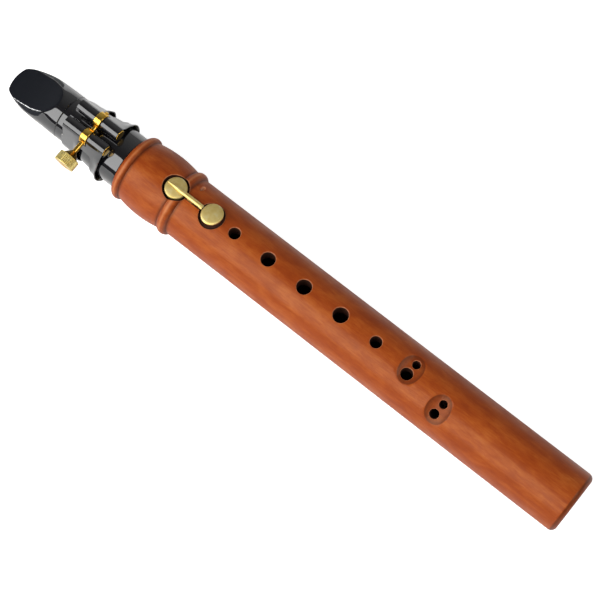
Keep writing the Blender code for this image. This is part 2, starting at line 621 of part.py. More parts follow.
def hoop_points(height, leave, rear_flare, lobe_flare):
    """The band's middle line from the web round the back to its middle, as distances and directions.

    The sheet is drawn tight over the round of the mouthpiece and over the reed, so it follows the
    reed's bark, then a straight line from the reed's corner to the round or to the table's edge, and
    then the round.
    """
    round_reach = mouthpiece_radius(height)
    corner, corner_angle = reed_corner(height)
    table_edge_angle = acos(TABLE_DEPTH / round_reach)
    touch_angle = max(table_edge_angle, corner_angle + acos(min(1, round_reach / corner)))
    bark_centre = REED_FLAT + REED_THICKNESS - BARK_RADIUS
    points = []
    for start, end, steps in ((pi - leave, touch_angle, ROUND_STEPS), (touch_angle, corner_angle, 2),
                              (corner_angle, 0, BARK_STEPS)):
        for step in range(steps):
            points.append(start + (end - start) * step / steps)
    reaches = []
    for angle in points + [0]:
        if angle <= corner_angle:
            reach = bark_centre * cos(angle) + sqrt(BARK_RADIUS ** 2 - (bark_centre * sin(angle)) ** 2)
        elif angle < touch_angle:
            near_corner = sin(touch_angle - angle) / corner
            near_round = sin(angle - corner_angle) / round_reach
            reach = sin(touch_angle - corner_angle) / (near_corner + near_round)
        else:
            reach = round_reach
        to_back = min(1, max(0, (angle - radians(20)) / radians(30)))
        to_flank = max(0, 1 - (pi - leave - angle) / radians(LOBE_FADE))
        flare = max(rear_flare * to_back, lobe_flare * to_flank)
        reaches.append((reach + SEAT_GAP + BAND_THICKNESS / 2 + flare, pi - angle))
    return reaches


def band_section(height):
    """The band's middle line at one height, from one rolled tube round the back to the other.

    Each side starts inside its tube, rolls over the top and leaves at the outer side, where the
    straight web runs down to the round of the mouthpiece. The tubes' rear ends reach further back
    than the rest of the rear edge, so the rearmost rows lean back towards the tubes.
    """
    rear = max(0, 1 - (height - BAND_REAR) / FLARE_LENGTH)
    lobe = 0
    if height > LOBE_EDGE - LOBE_STEP / 2:
        lobe = max(0, 1 - (height - LOBE_EDGE) / FLARE_LENGTH)
    rear_flare = BAND_FLARE * rear * rear
    lobe_flare = BAND_FLARE * lobe * lobe
    tube_height = height - (BAND_REAR - TUBE_REAR) * rear
    side = TUBE_SPACING / 2
    reach = mouthpiece_radius(height) + SEAT_GAP + BAND_THICKNESS / 2
    roll = TUBE_RADIUS - BAND_THICKNESS / 2
    leave = atan2(side, TUBE_HEIGHT) + acos((reach - roll) / hypot(side, TUBE_HEIGHT))
    seam = acos(1 - (BAND_THICKNESS + 2 * SEAT_GAP) / roll)
    half = []
    for step in range(ROLL_STEPS):
        angle = leave - (2 * pi - seam) * (1 - step / ROLL_STEPS)
        half.append((side + roll * sin(angle), TUBE_HEIGHT + roll * cos(angle), tube_height))
    web_start = (side + roll * sin(leave), TUBE_HEIGHT + roll * cos(leave))
    web_end = (reach * sin(leave), reach * cos(leave))
    for step in range(WEB_STEPS):
        share = step / WEB_STEPS
        lift = max(rear_flare, lobe_flare) * min(1, 2 * share)
        x = web_start[0] + (web_end[0] - web_start[0]) * share + lift * sin(leave)
        y = web_start[1] + (web_end[1] - web_start[1]) * share + lift * cos(leave)
        half.append((x, y, tube_height + (height - tube_height) * share))
    for reach, angle in hoop_points(height, leave, rear_flare, lobe_flare):
        half.append((reach * sin(angle), reach * cos(angle), height))
    return half + [(-x, y, z) for x, y, z in reversed(half[:-1])]


def make_ligature_band():
    """A sheet lofted up the mouthpiece, thickened, and cut for the collars, at the waist and at the tubes."""
    heights = [BAND_REAR + FLARE_LENGTH * share for share in (0, 0.25, 0.6, 1)]
    straight = LOBE_EDGE - LOBE_STEP - BAND_REAR - FLARE_LENGTH
    heights += [BAND_REAR + FLARE_LENGTH + straight * share for share in (0.5, 1)]
    heights += [LOBE_EDGE + FLARE_LENGTH * share for share in (0, 0.25, 0.6, 1)]
    heights.append(BAND_FRONT)
    mesh = bpy.data.meshes.new("ligature_band")
    work = bmesh.new()
    rows = []
    for height in heights:
        rows.append([work.verts.new((x, -y, z)) for x, y, z in band_section(height)])
    for low, high in zip(rows, rows[1:]):
        for i in range(len(low) - 1):
            work.faces.new((low[i], high[i], high[i + 1], low[i + 1]))
    work.to_mesh(mesh)
    work.free()
    smooth(mesh)
    band = bpy.data.objects.new("ligature_band", mesh)
    place(band, mouthpiece_axis, (0, 0, 0), (0, 0, 0), black_lacquer)
    shell = band.modifiers.new("sheet", "SOLIDIFY")
    shell.thickness = BAND_THICKNESS
    shell.offset = 0
    for side in (-1, 1):
        half_slot = COLLAR_LENGTH / 2 + SEAT_GAP
        centre = (side * TUBE_SPACING / 2, -TUBE_HEIGHT, SCREW_STATION)
        slot = rod(f"collar_slot_{side}", COLLAR_RADIUS + SEAT_GAP, -half_slot, half_slot, BODY_SIDES,
                   mouthpiece_axis, centre, (0, 0, 1 / BODY_SIDES))
        combine(band, slot)
    combine(band, plate("waist_cut", waist_outline(), 4 * BEYOND, mouthpiece_axis, rotation=SIDE_VIEW))
    past_front = BAND_FRONT + FRONT_LAP
    trim = [(TUBE_FRONT, TUBE_HEIGHT - TUBE_RADIUS * 2), (past_front, BARREL_RADIUS * 0.7)]
    trim += [(past_front, BEYOND), (TUBE_FRONT, BEYOND)]
    combine(band, plate("front_trim", trim, 4 * BEYOND, mouthpiece_axis, rotation=SIDE_VIEW))
    return band


def waist_outline():
    """The cut-out on each flank, a rounded slot that ends at the front lobe's lip."""
    low = -SHANK_RADIUS * 0.5
    high = TUBE_HEIGHT - TUBE_RADIUS * 1.6
    left = LOBE_EDGE - WAIST_LENGTH
    corner = WAIST_CORNER
    outline = arc((LOBE_EDGE - corner, high - corner), corner, 0, 90, 3)
    outline += arc((left + corner, high - corner), corner, 90, 180, 3)
    outline += arc((left + corner, low + corner), corner, 180, 270, 3)
    outline += arc((LOBE_EDGE - corner, low + corner), corner, 270, 360, 3)
    return outline


def make_post(name, side):
    """A brass rod in the ligature's tube, with a collar in the tube's gap and a cross hole for the screw."""
    bottom = TUBE_REAR - POST_PROUD - SCREW_STATION
    top = TUBE_FRONT + POST_PROUD - SCREW_STATION
    half = COLLAR_LENGTH / 2
    ease = POST_EASE
    profile = [(0, top), (POST_RADIUS - ease, top), (POST_RADIUS, top - ease), (POST_RADIUS, half)]
    profile += [(COLLAR_RADIUS - ease, half), (COLLAR_RADIUS, half - ease), (COLLAR_RADIUS, ease - half)]
    profile += [(COLLAR_RADIUS - ease, -half), (POST_RADIUS, -half), (POST_RADIUS, bottom + ease)]
    profile += [(POST_RADIUS - ease, bottom), (0, bottom)]
    centre = (side * TUBE_SPACING / 2, -TUBE_HEIGHT, SCREW_STATION)
    post = turned(name, profile, SMALL_SIDES, mouthpiece_axis, centre, finish=screw_brass)
    hole = rod(name + "_hole", SCREW_RADIUS + RUNNING_GAP, -BEYOND, BEYOND, FINE_SIDES, mouthpiece_axis,
               centre, ACROSS)
    combine(post, hole)
    return post


def make_ligature_screw():
    """A thumb screw: the turned form, cut to a knurled outline. Its own Z runs to the threaded end."""
    tip = COLLAR_REACH + SCREW_TIP_PROUD
    neck = -COLLAR_REACH - SCREW_NECK
    cone = neck - SCREW_CONE_LENGTH
    end = -SCREW_REACH
    ease = SCREW_EASE
    profile = [(0, tip), (SCREW_RADIUS - ease, tip), (SCREW_RADIUS, tip - ease), (SCREW_RADIUS, neck)]
    profile += [(SCREW_RADIUS * 1.5, neck - ease / 2)]
    profile += [(SCREW_CONE_RADIUS, cone), (SCREW_HEAD_RADIUS - ease, cone - ease / 2)]
    profile += [(SCREW_HEAD_RADIUS, cone - ease), (SCREW_HEAD_RADIUS, end + ease)]
    profile += [(SCREW_HEAD_RADIUS - ease, end), (SCREW_HEAD_RADIUS * 0.55, end)]
    profile += [(SCREW_HEAD_RADIUS * 0.45, end + ease / 2), (0, end + ease / 2)]
    centre = (0, -TUBE_HEIGHT, SCREW_STATION)
    screw = turned("ligature_screw", profile, SMALL_SIDES, mouthpiece_axis, centre, ACROSS, screw_brass)
    outline = []
    for step in range(2 * KNURLS):
        reach = SCREW_HEAD_RADIUS - KNURL_DEPTH if step % 2 else SCREW_HEAD_RADIUS + KNURL_DEPTH
        angle = pi * step / KNURLS
        outline.append((reach * cos(angle), reach * sin(angle)))
    knurl = plate("knurl", outline, 4 * BEYOND, mouthpiece_axis, centre, ACROSS)
    combine(screw, knurl, "INTERSECT")
    return screw


def make_key_arm():
    """A bar over the pivot that lies on the pad cup and runs out to a point there. Drawn in plan."""
    half = ARM_WIDTH / 2
    low = TOUCH_STATION + TOUCH_DIAMETER / 2 + SEAM - PIVOT_STATION
    high = KEY_HOLE_STATION + CUP_DIAMETER * 0.43 - PIVOT_STATION
    point = ARM_POINT_WIDTH / 2
    outline = [(-half, low), (half, low), (half, high - ARM_TAPER), (point, high)]
    outline += [(-point, high), (-half, high - ARM_TAPER)]
    middle = PIVOT_REACH - ARM_UNDERSIDE - ARM_THICKNESS / 2
    arm = plate("key_arm", outline, ARM_THICKNESS, key_axis, (0, middle, 0), PLAN_VIEW, key_brass)
    bevel = arm.modifiers.new("round", "BEVEL")
    bevel.width = ARM_POINT_WIDTH * 0.45
    bevel.segments = 2
    rivet = rod("rivet_hole", RIVET_DIAMETER / 2 + RUNNING_GAP, -ARM_THICKNESS, RIVET_DEPTH, FINE_SIDES,
                key_axis, rivet_place(), OUT_OF_FRONT)
    combine(arm, rivet)
    return arm


def rivet_place():
    """Where the spring's rivet meets the arm's underside."""
    return (0, PIVOT_REACH - ARM_UNDERSIDE, -LUG_LENGTH / 2 - RIVET_HEAD_DIAMETER)


def make_key_touch():
    """A crowned disc, tilted so that its free edge stands higher."""
    radius = TOUCH_DIAMETER / 2
    edge = TOUCH_THICKNESS * 0.4
    crown = []
    for step in range(5):
        share = step / 4
        crown.append(((radius - edge) * share, -TOUCH_CROWN * share * share))
    rim = arc((radius - edge, -TOUCH_CROWN - edge), edge, 90, 0, 3)
    foot = [(radius, edge * 0.5 - TOUCH_THICKNESS), (radius - edge * 0.5, -TOUCH_THICKNESS)]
    foot.append((0, -TOUCH_THICKNESS))
    centre = (0, PIVOT_REACH - BODY_RADIUS - TOUCH_RISE, TOUCH_STATION - PIVOT_STATION)
    tilt = (radians(90 - TOUCH_TILT), 0, 0)
    return turned("key_touch", crown + rim[1:] + foot, SMALL_SIDES, key_axis, centre, tilt, key_brass)


def make_key_pad_cup():
    """A shallow cup, open below, with a crowned top."""
    radius = CUP_DIAMETER / 2
    inner = radius - CUP_WALL
    ease = CUP_WALL * 0.5
    crown = []
    for step in range(5):
        share = step / 4
        crown.append(((radius - ease) * share, -CUP_CROWN * share * share))
    roof = -CUP_CROWN - CUP_WALL
    profile = crown + [(radius, -CUP_CROWN - ease), (radius, -CUP_HEIGHT), (inner, -CUP_HEIGHT)]
    profile += [(inner, roof), (0, roof)]
    centre = (0, PIVOT_REACH - CUP_TOP, KEY_HOLE_STATION - PIVOT_STATION)
    return turned("key_pad_cup", profile, SMALL_SIDES, key_axis, centre, OUT_OF_FRONT, key_brass)


def make_key_pad():
    radius = CUP_DIAMETER / 2 - CUP_WALL - SEAM
    ease = PAD_THICKNESS * 0.2
    profile = [(0, 0), (radius, 0), (radius, ease - PAD_THICKNESS), (radius - ease, -PAD_THICKNESS)]
    profile.append((0, -PAD_THICKNESS))
    centre = (0, PIVOT_REACH - PAD_TOP, KEY_HOLE_STATION - PIVOT_STATION)
    return turned("key_pad", profile, SMALL_SIDES, key_axis, centre, OUT_OF_FRONT, pad_skin)


def make_key_lug():
    """The block under the arm, rounded about the pin. Drawn in side view."""
    half = LUG_LENGTH / 2
    top = ARM_UNDERSIDE - SEAM - PIVOT_REACH
    outline = [(half, top), (-half, top)] + arc((0, 0), half, 180, 360, 10)
    lug = plate("key_lug", outline, ARM_WIDTH, key_axis, (0, 0, 0), SIDE_VIEW, key_brass)
    hole = rod("lug_hole", PIVOT_DIAMETER / 2 + RUNNING_GAP, -BEYOND, BEYOND, FINE_SIDES, key_axis,
               rotation=ACROSS)
    combine(lug, hole)
    return lug


def make_key_pivot_pin():
    """A pin in a blind hole, pushed in from one side until its end is under the wood's surface."""
    highest = PIVOT_REACH + PIVOT_DIAMETER / 2
    end = sqrt(BODY_RADIUS ** 2 - highest ** 2) - PIN_SHORT
    return rod("key_pivot_pin", PIVOT_DIAMETER / 2, PIN_HOLE_END + RUNNING_GAP, end, FINE_SIDES, laid_down,
               (0, -PIVOT_REACH, PIVOT_STATION), ACROSS, pin_steel)


def make_key_spring():
    """A leaf riveted under the arm, bowed down until its free end rests in the touch's recess."""
    top = ARM_UNDERSIDE - SEAM - PIVOT_REACH
    root = -LUG_LENGTH / 2 - SEAM
    bend = rivet_place()[2] - RIVET_HEAD_DIAMETER / 2
    tip = bend - SPRING_REACH
    low = BODY_RADIUS - TOUCH_RECESS_DEPTH + SEAM + SPRING_THICKNESS - PIVOT_REACH
    upper = [(root, top)] + bowed((bend, top), (tip, low), -SPRING_BOW, 8)
    lower = [(x, y - SPRING_THICKNESS) for x, y in reversed(upper)]
    spring = plate("key_spring", upper + lower, SPRING_WIDTH, key_axis, (0, 0, 0), SIDE_VIEW, blue_steel)
    hole = rod("spring_hole", RIVET_DIAMETER / 2 + SEAM, -BEYOND, BEYOND, FINE_SIDES, key_axis, rivet_place(),
               OUT_OF_FRONT)
    combine(spring, hole)
    return spring


def make_spring_rivet():
    """The head is under the leaf and the shank goes up into the arm."""
    shank = RIVET_DIAMETER / 2
    head = RIVET_HEAD_DIAMETER / 2
    under = -SEAM - SPRING_THICKNESS - SEAM
    head_height = RIVET_HEAD_HEIGHT
    top = RIVET_DEPTH - SEAM
    profile = [(0, top), (shank, top), (shank, under), (head, under), (head, under - head_height * 0.5)]
    profile += [(head * 0.6, under - head_height), (0, under - head_height)]
    return turned("spring_rivet", profile, FINE_SIDES, key_axis, rivet_place(), OUT_OF_FRONT, key_brass)


make_body()
make_mouthpiece()
make_tenon_cork()
make_reed()
make_ligature_band()
make_post("ligature_post_clear", -1)
make_post("ligature_post_threaded", 1)
make_ligature_screw()
make_key_arm()
make_key_touch()
make_key_pad_cup()
make_key_pad()
make_key_lug()
make_key_pivot_pin()
make_key_spring()
make_spring_rivet()
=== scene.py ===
# %% [markdown]
# # A small clarinet with one key
#
# The instrument is a wooden pipe with finger holes, one sprung brass key, and a black mouthpiece whose
# reed is held by a ligature. This file dresses the fixed model of it: each piece that shows is made again
# with finer edges, and every piece gets a finish built from nodes.

import json
from math import acos, atan2, cos, degrees, hypot, pi, radians, sin, sqrt, tan

import bmesh
import bpy
from mathutils import Matrix, Vector

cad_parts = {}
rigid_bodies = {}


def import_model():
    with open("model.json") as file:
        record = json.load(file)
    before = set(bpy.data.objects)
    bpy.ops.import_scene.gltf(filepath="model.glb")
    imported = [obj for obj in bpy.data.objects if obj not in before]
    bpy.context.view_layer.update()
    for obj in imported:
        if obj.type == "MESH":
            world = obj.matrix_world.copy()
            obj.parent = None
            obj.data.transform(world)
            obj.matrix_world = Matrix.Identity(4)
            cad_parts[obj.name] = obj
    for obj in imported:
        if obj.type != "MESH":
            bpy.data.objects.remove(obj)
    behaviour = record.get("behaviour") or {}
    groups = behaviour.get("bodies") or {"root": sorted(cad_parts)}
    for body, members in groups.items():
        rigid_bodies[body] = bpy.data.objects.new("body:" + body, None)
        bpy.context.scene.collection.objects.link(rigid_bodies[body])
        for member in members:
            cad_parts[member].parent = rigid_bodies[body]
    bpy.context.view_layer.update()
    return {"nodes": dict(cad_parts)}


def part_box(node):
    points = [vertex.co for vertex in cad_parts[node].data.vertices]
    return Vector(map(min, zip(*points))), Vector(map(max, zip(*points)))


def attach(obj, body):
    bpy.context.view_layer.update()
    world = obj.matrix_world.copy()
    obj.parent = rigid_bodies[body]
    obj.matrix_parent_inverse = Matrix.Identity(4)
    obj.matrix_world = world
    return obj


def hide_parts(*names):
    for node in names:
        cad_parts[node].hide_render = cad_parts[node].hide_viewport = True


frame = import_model()
mm = 0.001
print("fixed pieces:", ", ".join(sorted(frame["nodes"])))

# %% [markdown]
# ## Where the pipe lies
#
# A turner thinks of the pipe as standing on its foot, and measures each place up from there. So the pieces
# are drawn upright in millimetres, with Z up the pipe and the finger holes towards -Y, and one matrix lays
# them down along X as the fixed model lies. Its place comes from the wooden body's own box, so the pieces
# can't drift. The mouthpiece was pushed in a few degrees askew, and it carries the ligature with it, so a
# second matrix starts at its shoulder and turns by that much.

# %% Lay upright pieces down along X
body_low, body_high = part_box("body")
pipe_y = (body_low.y + body_high.y) / 2
pipe_z = (body_low.z + body_high.z) / 2
laid = Matrix(((0, 0, 1, body_low.x), (-1, 0, 0, pipe_y), (0, -1, 0, pipe_z), (0, 0, 0, 1)))
body_length = (body_high.x - body_low.x) / mm
shoulder_gap = 0.3
mouthpiece_turn = radians(-6.0)
at_shoulder = Matrix.Translation((0, 0, (body_length + shoulder_gap) * mm))
at_shoulder = at_shoulder @ Matrix.Rotation(mouthpiece_turn, 4, "Z")
mouthpiece_laid = laid @ at_shoulder
crosswise = Matrix.Rotation(radians(90), 4, "Y")


def shift(x, y, z):
    """A move in millimetres."""
    return Matrix.Translation(Vector((x, y, z)) * mm)


print("pipe axis at y %.2f, z %.2f mm, body %.1f mm long" % (pipe_y / mm, pipe_z / mm, body_length))

# %% [markdown]
# ## The camera
#
# The pipe is seen almost from above, a little from the side of the ligature screw, and it shrinks towards
# the mouthpiece, so the camera is close: straight above the foot and tilted towards the tip. Writing it
# down as a distance, a turn round the pipe, a tilt and a roll keeps each of these easy to correct.

# %% Place the camera over the foot
camera_distance = 699.4 * mm
camera_turn = radians(14.3)
camera_tilt = radians(11.4)
camera_roll = radians(37.65)
camera_along = 1.33 * mm
camera_aside = -1.95 * mm
focal_pixels = 1681.0
frame_pixels = 600.0

along = Vector((1, 0, 0))
outward = Vector((0, sin(camera_turn), cos(camera_turn)))
sideways = along.cross(outward)
view = along * sin(camera_tilt) - outward * cos(camera_tilt)
footward = -along * cos(camera_tilt) - outward * sin(camera_tilt)
right = footward * cos(camera_roll) + sideways * sin(camera_roll)
up = -footward * sin(camera_roll) + sideways * cos(camera_roll)

camera_data = bpy.data.cameras.new("camera")
camera_data.sensor_width = 36.0
camera_data.lens = focal_pixels / frame_pixels * camera_data.sensor_width
camera_data.clip_start = 0.01
camera_data.clip_end = 10.0
camera = bpy.data.objects.new("camera", camera_data)
bpy.context.scene.collection.objects.link(camera)
foot = Vector((body_low.x, pipe_y, pipe_z))
camera.matrix_world = Matrix((right, up, -view)).transposed().to_4x4()
camera.location = foot + outward * camera_distance + sideways * camera_aside + along * camera_along
bpy.context.scene.camera = camera
print("lens %.1f mm, camera at %s" % (camera_data.lens, [round(v, 3) for v in camera.location]))

# %% [markdown]
# ## The studio
#
# A product like this is shot on a white table with one large soft light at its side: the black pieces show
# that light as a clean stripe, and the dark ceiling above them keeps their tops black. The room is lighter on
# the far side only, which lifts the shaded wood a little, and the camera itself sees it as plain white. A
# small light beyond the foot finds the pieces that lie across the pipe, such as the thumb screw, because the
# large one can't be mirrored in them. Another one, low beyond the tip, draws the line along the beak's edge.

# %% Light the table from one side
scene = bpy.context.scene
scene.view_settings.view_transform = "Standard"
world = bpy.data.worlds.new("studio")
world.use_nodes = True
room = world.node_tree
way = room.nodes.new("ShaderNodeSeparateXYZ")
room.links.new(room.nodes.new("ShaderNodeTexCoord").outputs["Generated"], way.inputs[0])
far_side_glow, near_side_glow = 0.34, 0.09
to_far_side = room.nodes.new("ShaderNodeMapRange")
room.links.new(way.outputs["Y"], to_far_side.inputs["Value"])
ends = {"From Min": -1.0, "From Max": 0.0, "To Min": far_side_glow, "To Max": near_side_glow}
for socket, value in ends.items():
    to_far_side.inputs[socket].default_value = value
seen_white = room.nodes.new("ShaderNodeMath")
seen_white.operation = "MAXIMUM"
room.links.new(room.nodes.new("ShaderNodeLightPath").outputs["Is Camera Ray"], seen_white.inputs[0])
room.links.new(to_far_side.outputs["Result"], seen_white.inputs[1])
sky = room.nodes["Background"]
sky.inputs["Color"].default_value = (1.0, 1.0, 1.0, 1.0)
room.links.new(seen_white.outputs[0], sky.inputs["Strength"])
scene.world = world


def soft_light(name, place, aim, width, height, power):
    """A rectangular softbox that looks at a point, its width along the pipe."""
    lamp = bpy.data.lights.new(name, "AREA")
    lamp.shape = "RECTANGLE"
    lamp.size = width
    lamp.size_y = height
    lamp.energy = power
    holder = bpy.data.objects.new(name, lamp)
    scene.collection.objects.link(holder)
    away = (Vector(place) - Vector(aim)).normalized()
    level = Vector((1, 0, 0))
    level = (level - away * level.dot(away)).normalized()
    holder.matrix_world = Matrix((level, away.cross(level), away)).transposed().to_4x4()
    holder.location = place
    return holder


side_light = soft_light("side_softbox", (0.35, 0.77, 0.73), (0.10, 0, 0.02), 1.6, 1.05, 18.0)
soft_light("foot_softbox", (-0.75, -0.20, 0.80), (0, 0, 0.02), 0.5, 0.5, 2.4)
soft_light("tip_softbox", (1.45, 0.40, 0.12), (0.13, 0, 0.016), 0.3, 0.2, 2.2)
print("softbox %.2f m from the pipe" % side_light.location.length)

# %% [markdown]
# ## Node finishes
#
# Every finish below is a Principled shader fed by a few procedural textures. Making nodes one by one is
# long-winded, so one helper makes a node, sets its options and wires its inputs: an input that is given
# another node's output gets a link, and any other value is typed into the socket. Small and hidden surfaces
# need only one noise, which a second helper spreads over their colour, roughness and bump.


# %% A helper for finishes
class Finish:
    """A material whose nodes are added one after another."""

    def __init__(self, name, **shader_values):
        self.material = bpy.data.materials.new(name)
        self.material.use_nodes = True
        self.tree = self.material.node_tree
        self.shader = self.tree.nodes["Principled BSDF"]
        self.place = self.add("ShaderNodeTexCoord").outputs["Object"]
        for socket, value in shader_values.items():
            self.shader.inputs[socket.replace("_", " ")].default_value = value

    def add(self, kind, wires=None, **options):
        node = self.tree.nodes.new(kind)
        for option, value in options.items():
            setattr(node, option, value)
        for socket, value in (wires or {}).items():
            if isinstance(value, bpy.types.NodeSocket):
                self.tree.links.new(value, node.inputs[socket])
            else:
                node.inputs[socket].default_value = value
        return node

    def in_mm(self, scale=(1, 1, 1)):
        """Object coordinates in millimetres, stretched by the scale."""
        factors = tuple(factor / mm for factor in scale)
        return self.add("ShaderNodeMapping", {"Vector": self.place, "Scale": factors}).outputs[0]

    def noise(self, where, scale, detail=3.0, roughness=0.5, distortion=0.0):
        wires = {"Vector": where, "Scale": scale, "Detail": detail, "Roughness": roughness}
        wires["Distortion"] = distortion
        return self.add("ShaderNodeTexNoise", wires).outputs["Fac"]

    def spread(self, value, low, high, to_low=0.0, to_high=1.0):
        """Stretches a value's range, without going past its ends."""
        wires = {"Value": value, "From Min": low, "From Max": high, "To Min": to_low, "To Max": to_high}
        return self.add("ShaderNodeMapRange", wires).outputs["Result"]

    def math(self, operation, first, second=0.0):
        return self.add("ShaderNodeMath", {0: first, 1: second}, operation=operation).outputs[0]

    def ramp(self, value, stops):
        """A colour ramp from (position, colour) stops."""
        node = self.add("ShaderNodeValToRGB", {"Fac": value})
        band = node.color_ramp
        while len(band.elements) < len(stops):
            band.elements.new(0.5)
        for element, (position, colour) in zip(band.elements, stops):
            element.position = position
            element.color = (*colour, 1.0)
        return node.outputs["Color"]

    def mix(self, share, first, second, blend_type="MIX"):
        node = self.add("ShaderNodeMix", data_type="RGBA", blend_type=blend_type)
        for socket, value in ((node.inputs[0], share), (node.inputs[6], first), (node.inputs[7], second)):
            if isinstance(value, bpy.types.NodeSocket):
                self.tree.links.new(value, socket)
            elif isinstance(value, tuple):
                socket.default_value = (*value, 1.0)
            else:
                socket.default_value = value
        return node.outputs[2]

    def set(self, socket, value):
        self.tree.links.new(value, self.shader.inputs[socket])

    def paint(self, value, *stops):
        """Colours the surface by a texture, through a ramp."""
        self.set("Base Color", self.ramp(value, stops))

    def sheen(self, value, low, high, start=0.3, end=0.7):
        """Lets the roughness drift with a texture."""
        self.set("Roughness", self.spread(value, start, end, low, high))

    def bump(self, height, distance, strength=1.0):
        wires = {"Height": height, "Distance": distance * mm, "Strength": strength}
        self.set("Normal", self.add("ShaderNodeBump", wires).outputs["Normal"])


def plain_finish(name, stretch, noise, stops, sheen=None, bump=None, **shader_values):
    """A finish whose colour, and where given its roughness and bump, all follow one noise."""
    made = Finish(name, **shader_values)
    texture = made.noise(made.in_mm(stretch), *noise)
    made.paint(texture, *stops)
    if sheen:
        made.sheen(texture, *sheen)
    if bump:
        made.bump(texture, *bump)
    return made


print("a finish starts from a Principled shader and object coordinates")

# %% [markdown]
# ## The table
#
# Paper on the table would look grey at its edges, so the table glows a little wherever the camera sees it,
# and still takes the instrument's shadow. The pieces mirror less of that glow. From below it is clear, so
# that the back of the instrument can be looked at too.

# %% Spread the white table
table_half = 6.0
seen_glow, mirrored_glow = 0.86, 0.2
table_corners = [(-table_half, -table_half, 0), (table_half, -table_half, 0)]
table_corners += [(table_half, table_half, 0), (-table_half, table_half, 0)]
table_mesh = bpy.data.meshes.new("table")
table_mesh.from_pydata(table_corners, [], [(0, 1, 2, 3)])
table = bpy.data.objects.new("table", table_mesh)
scene.collection.objects.link(table)
white = Finish("white_table")
seen = white.add("ShaderNodeLightPath").outputs
mirrored = white.math("MAXIMUM", seen["Is Glossy Ray"], seen["Is Transmission Ray"])
brightness = white.math("ADD", white.math("MULTIPLY", seen["Is Camera Ray"], seen_glow),
                        white.math("MULTIPLY", mirrored, mirrored_glow))
matt = white.add("ShaderNodeBsdfDiffuse", {"Color": (0.8, 0.8, 0.8, 1)})
glow = white.add("ShaderNodeEmission", {"Color": (1, 1, 1, 1), "Strength": brightness})
both = white.add("ShaderNodeAddShader", {0: matt.outputs[0], 1: glow.outputs[0]})
clear = white.add("ShaderNodeBsdfTransparent")
from_below = white.add("ShaderNodeNewGeometry").outputs["Backfacing"]
one_sided = white.add("ShaderNodeMixShader", {0: from_below, 1: both.outputs[0], 2: clear.outputs[0]})
white.tree.links.new(one_sided.outputs[0], white.tree.nodes["Material Output"].inputs["Surface"])
table_mesh.materials.append(white.material)
print("table %.0f m wide" % (2 * table_half))

# %% [markdown]
# ## Turning a piece
#
# Most of this instrument came off a lathe, so the first tool is a lathe too: a list of (radius, height)
# points is carried round the axis. Blender's Screw modifier does the same, but building the rings with
# bmesh lets a ring carry knurls or a ripple, and gives each stretch of the profile its own finish.


# %% A lathe
def upright_object(name, work, body, finishes, frame_matrix=laid, smooth_angle=35.0):
    """Puts a bmesh in the scene, shades it, lays it down and hands it to its moving body."""
    bmesh.ops.recalc_face_normals(work, faces=work.faces)
    mesh = bpy.data.meshes.new(name)
    work.to_mesh(mesh)
    work.free()
    mesh.shade_smooth()
    mesh.set_sharp_from_angle(angle=radians(smooth_angle))
    for finish in finishes:
        mesh.materials.append(finish.material)
    made = bpy.data.objects.new(name, mesh)
    scene.collection.objects.link(made)
    made.matrix_world = frame_matrix
    if body:
        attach(made, body)
    return made


def cutter(work, finish, place=laid):
    """A closed mesh that is going to be cut out of a piece."""
    return upright_object("cutter", work, None, (finish,), place)


def skin(work, rings, closed=False, slots=None):
    """Faces between rings of vertices, where a ring of one vertex is a closed end."""
    pairs = list(zip(rings, rings[1:]))
    if closed:
        pairs.append((rings[-1], rings[0]))
    for index, (low, high) in enumerate(pairs):
        count = max(len(low), len(high))
        for i in range(count if count > 1 else 0):
            j = (i + 1) % count
            corners = [low[i % len(low)], low[j % len(low)], high[j % len(high)], high[i % len(high)]]
            face = work.faces.new(list(dict.fromkeys(corners)))
            face.material_index = slots[index] if slots else 0


def lathe(profile, sides, closed=False, slots=None, shape=None):
    """A turned bmesh. The shape, where given, changes a point's radius by its angle and height."""
    work = bmesh.new()
    rings = []
    for radius, height in profile:
        ring = []
        for side in range(sides if radius > 0 else 1):
            angle = 2 * pi * side / sides
            reach = shape(radius, height, angle) if shape else radius
            ring.append(work.verts.new((reach * cos(angle) * mm, reach * sin(angle) * mm, height * mm)))
        rings.append(ring)
    skin(work, rings, closed, slots)
    return work


def arc(centre, radius, start, end, steps):
    """Points of a circle's arc, from one angle to another in degrees."""
    points = []
    for step in range(steps + 1):
        angle = radians(start + (end - start) * step / steps)
        points.append((centre[0] + radius * cos(angle), centre[1] + radius * sin(angle)))
    return points


print("lathe ready")

# %% [markdown]
# ## Cutting into a piece
#
# Holes are drilled and sinkings are milled after turning. Each cutter here is a closed mesh with its own
# finish, and the Boolean hands that finish to the walls it leaves, so the wood inside a hole, bare and
# painted dark with shade, looks different from the stained outside. All the cutters of a piece are used at
# once and then thrown away.


# %% Apply the cutters
def cut_away(piece, cutters, smooth_angle=35.0):
    """Subtracts the cutters, keeps the result as the piece's own mesh and removes them."""
    for cutter in cutters:
        step = piece.modifiers.new("cut", "BOOLEAN")
        step.operation = "DIFFERENCE"
        step.solver = "EXACT"
        step.material_mode = "TRANSFER"
        step.object = cutter
    bpy.context.view_layer.update()
    graph = bpy.context.evaluated_depsgraph_get()
    result = bpy.data.meshes.new_from_object(piece.evaluated_get(graph), depsgraph=graph)
    piece.modifiers.clear()
    result.set_sharp_from_angle(angle=radians(smooth_angle))
    piece.data = result
    even = piece.modifiers.new("even_normals", "WEIGHTED_NORMAL")
    even.keep_sharp = True
    for cutter in cutters:
        bpy.data.objects.remove(cutter)
    return piece


print("cutting ready")
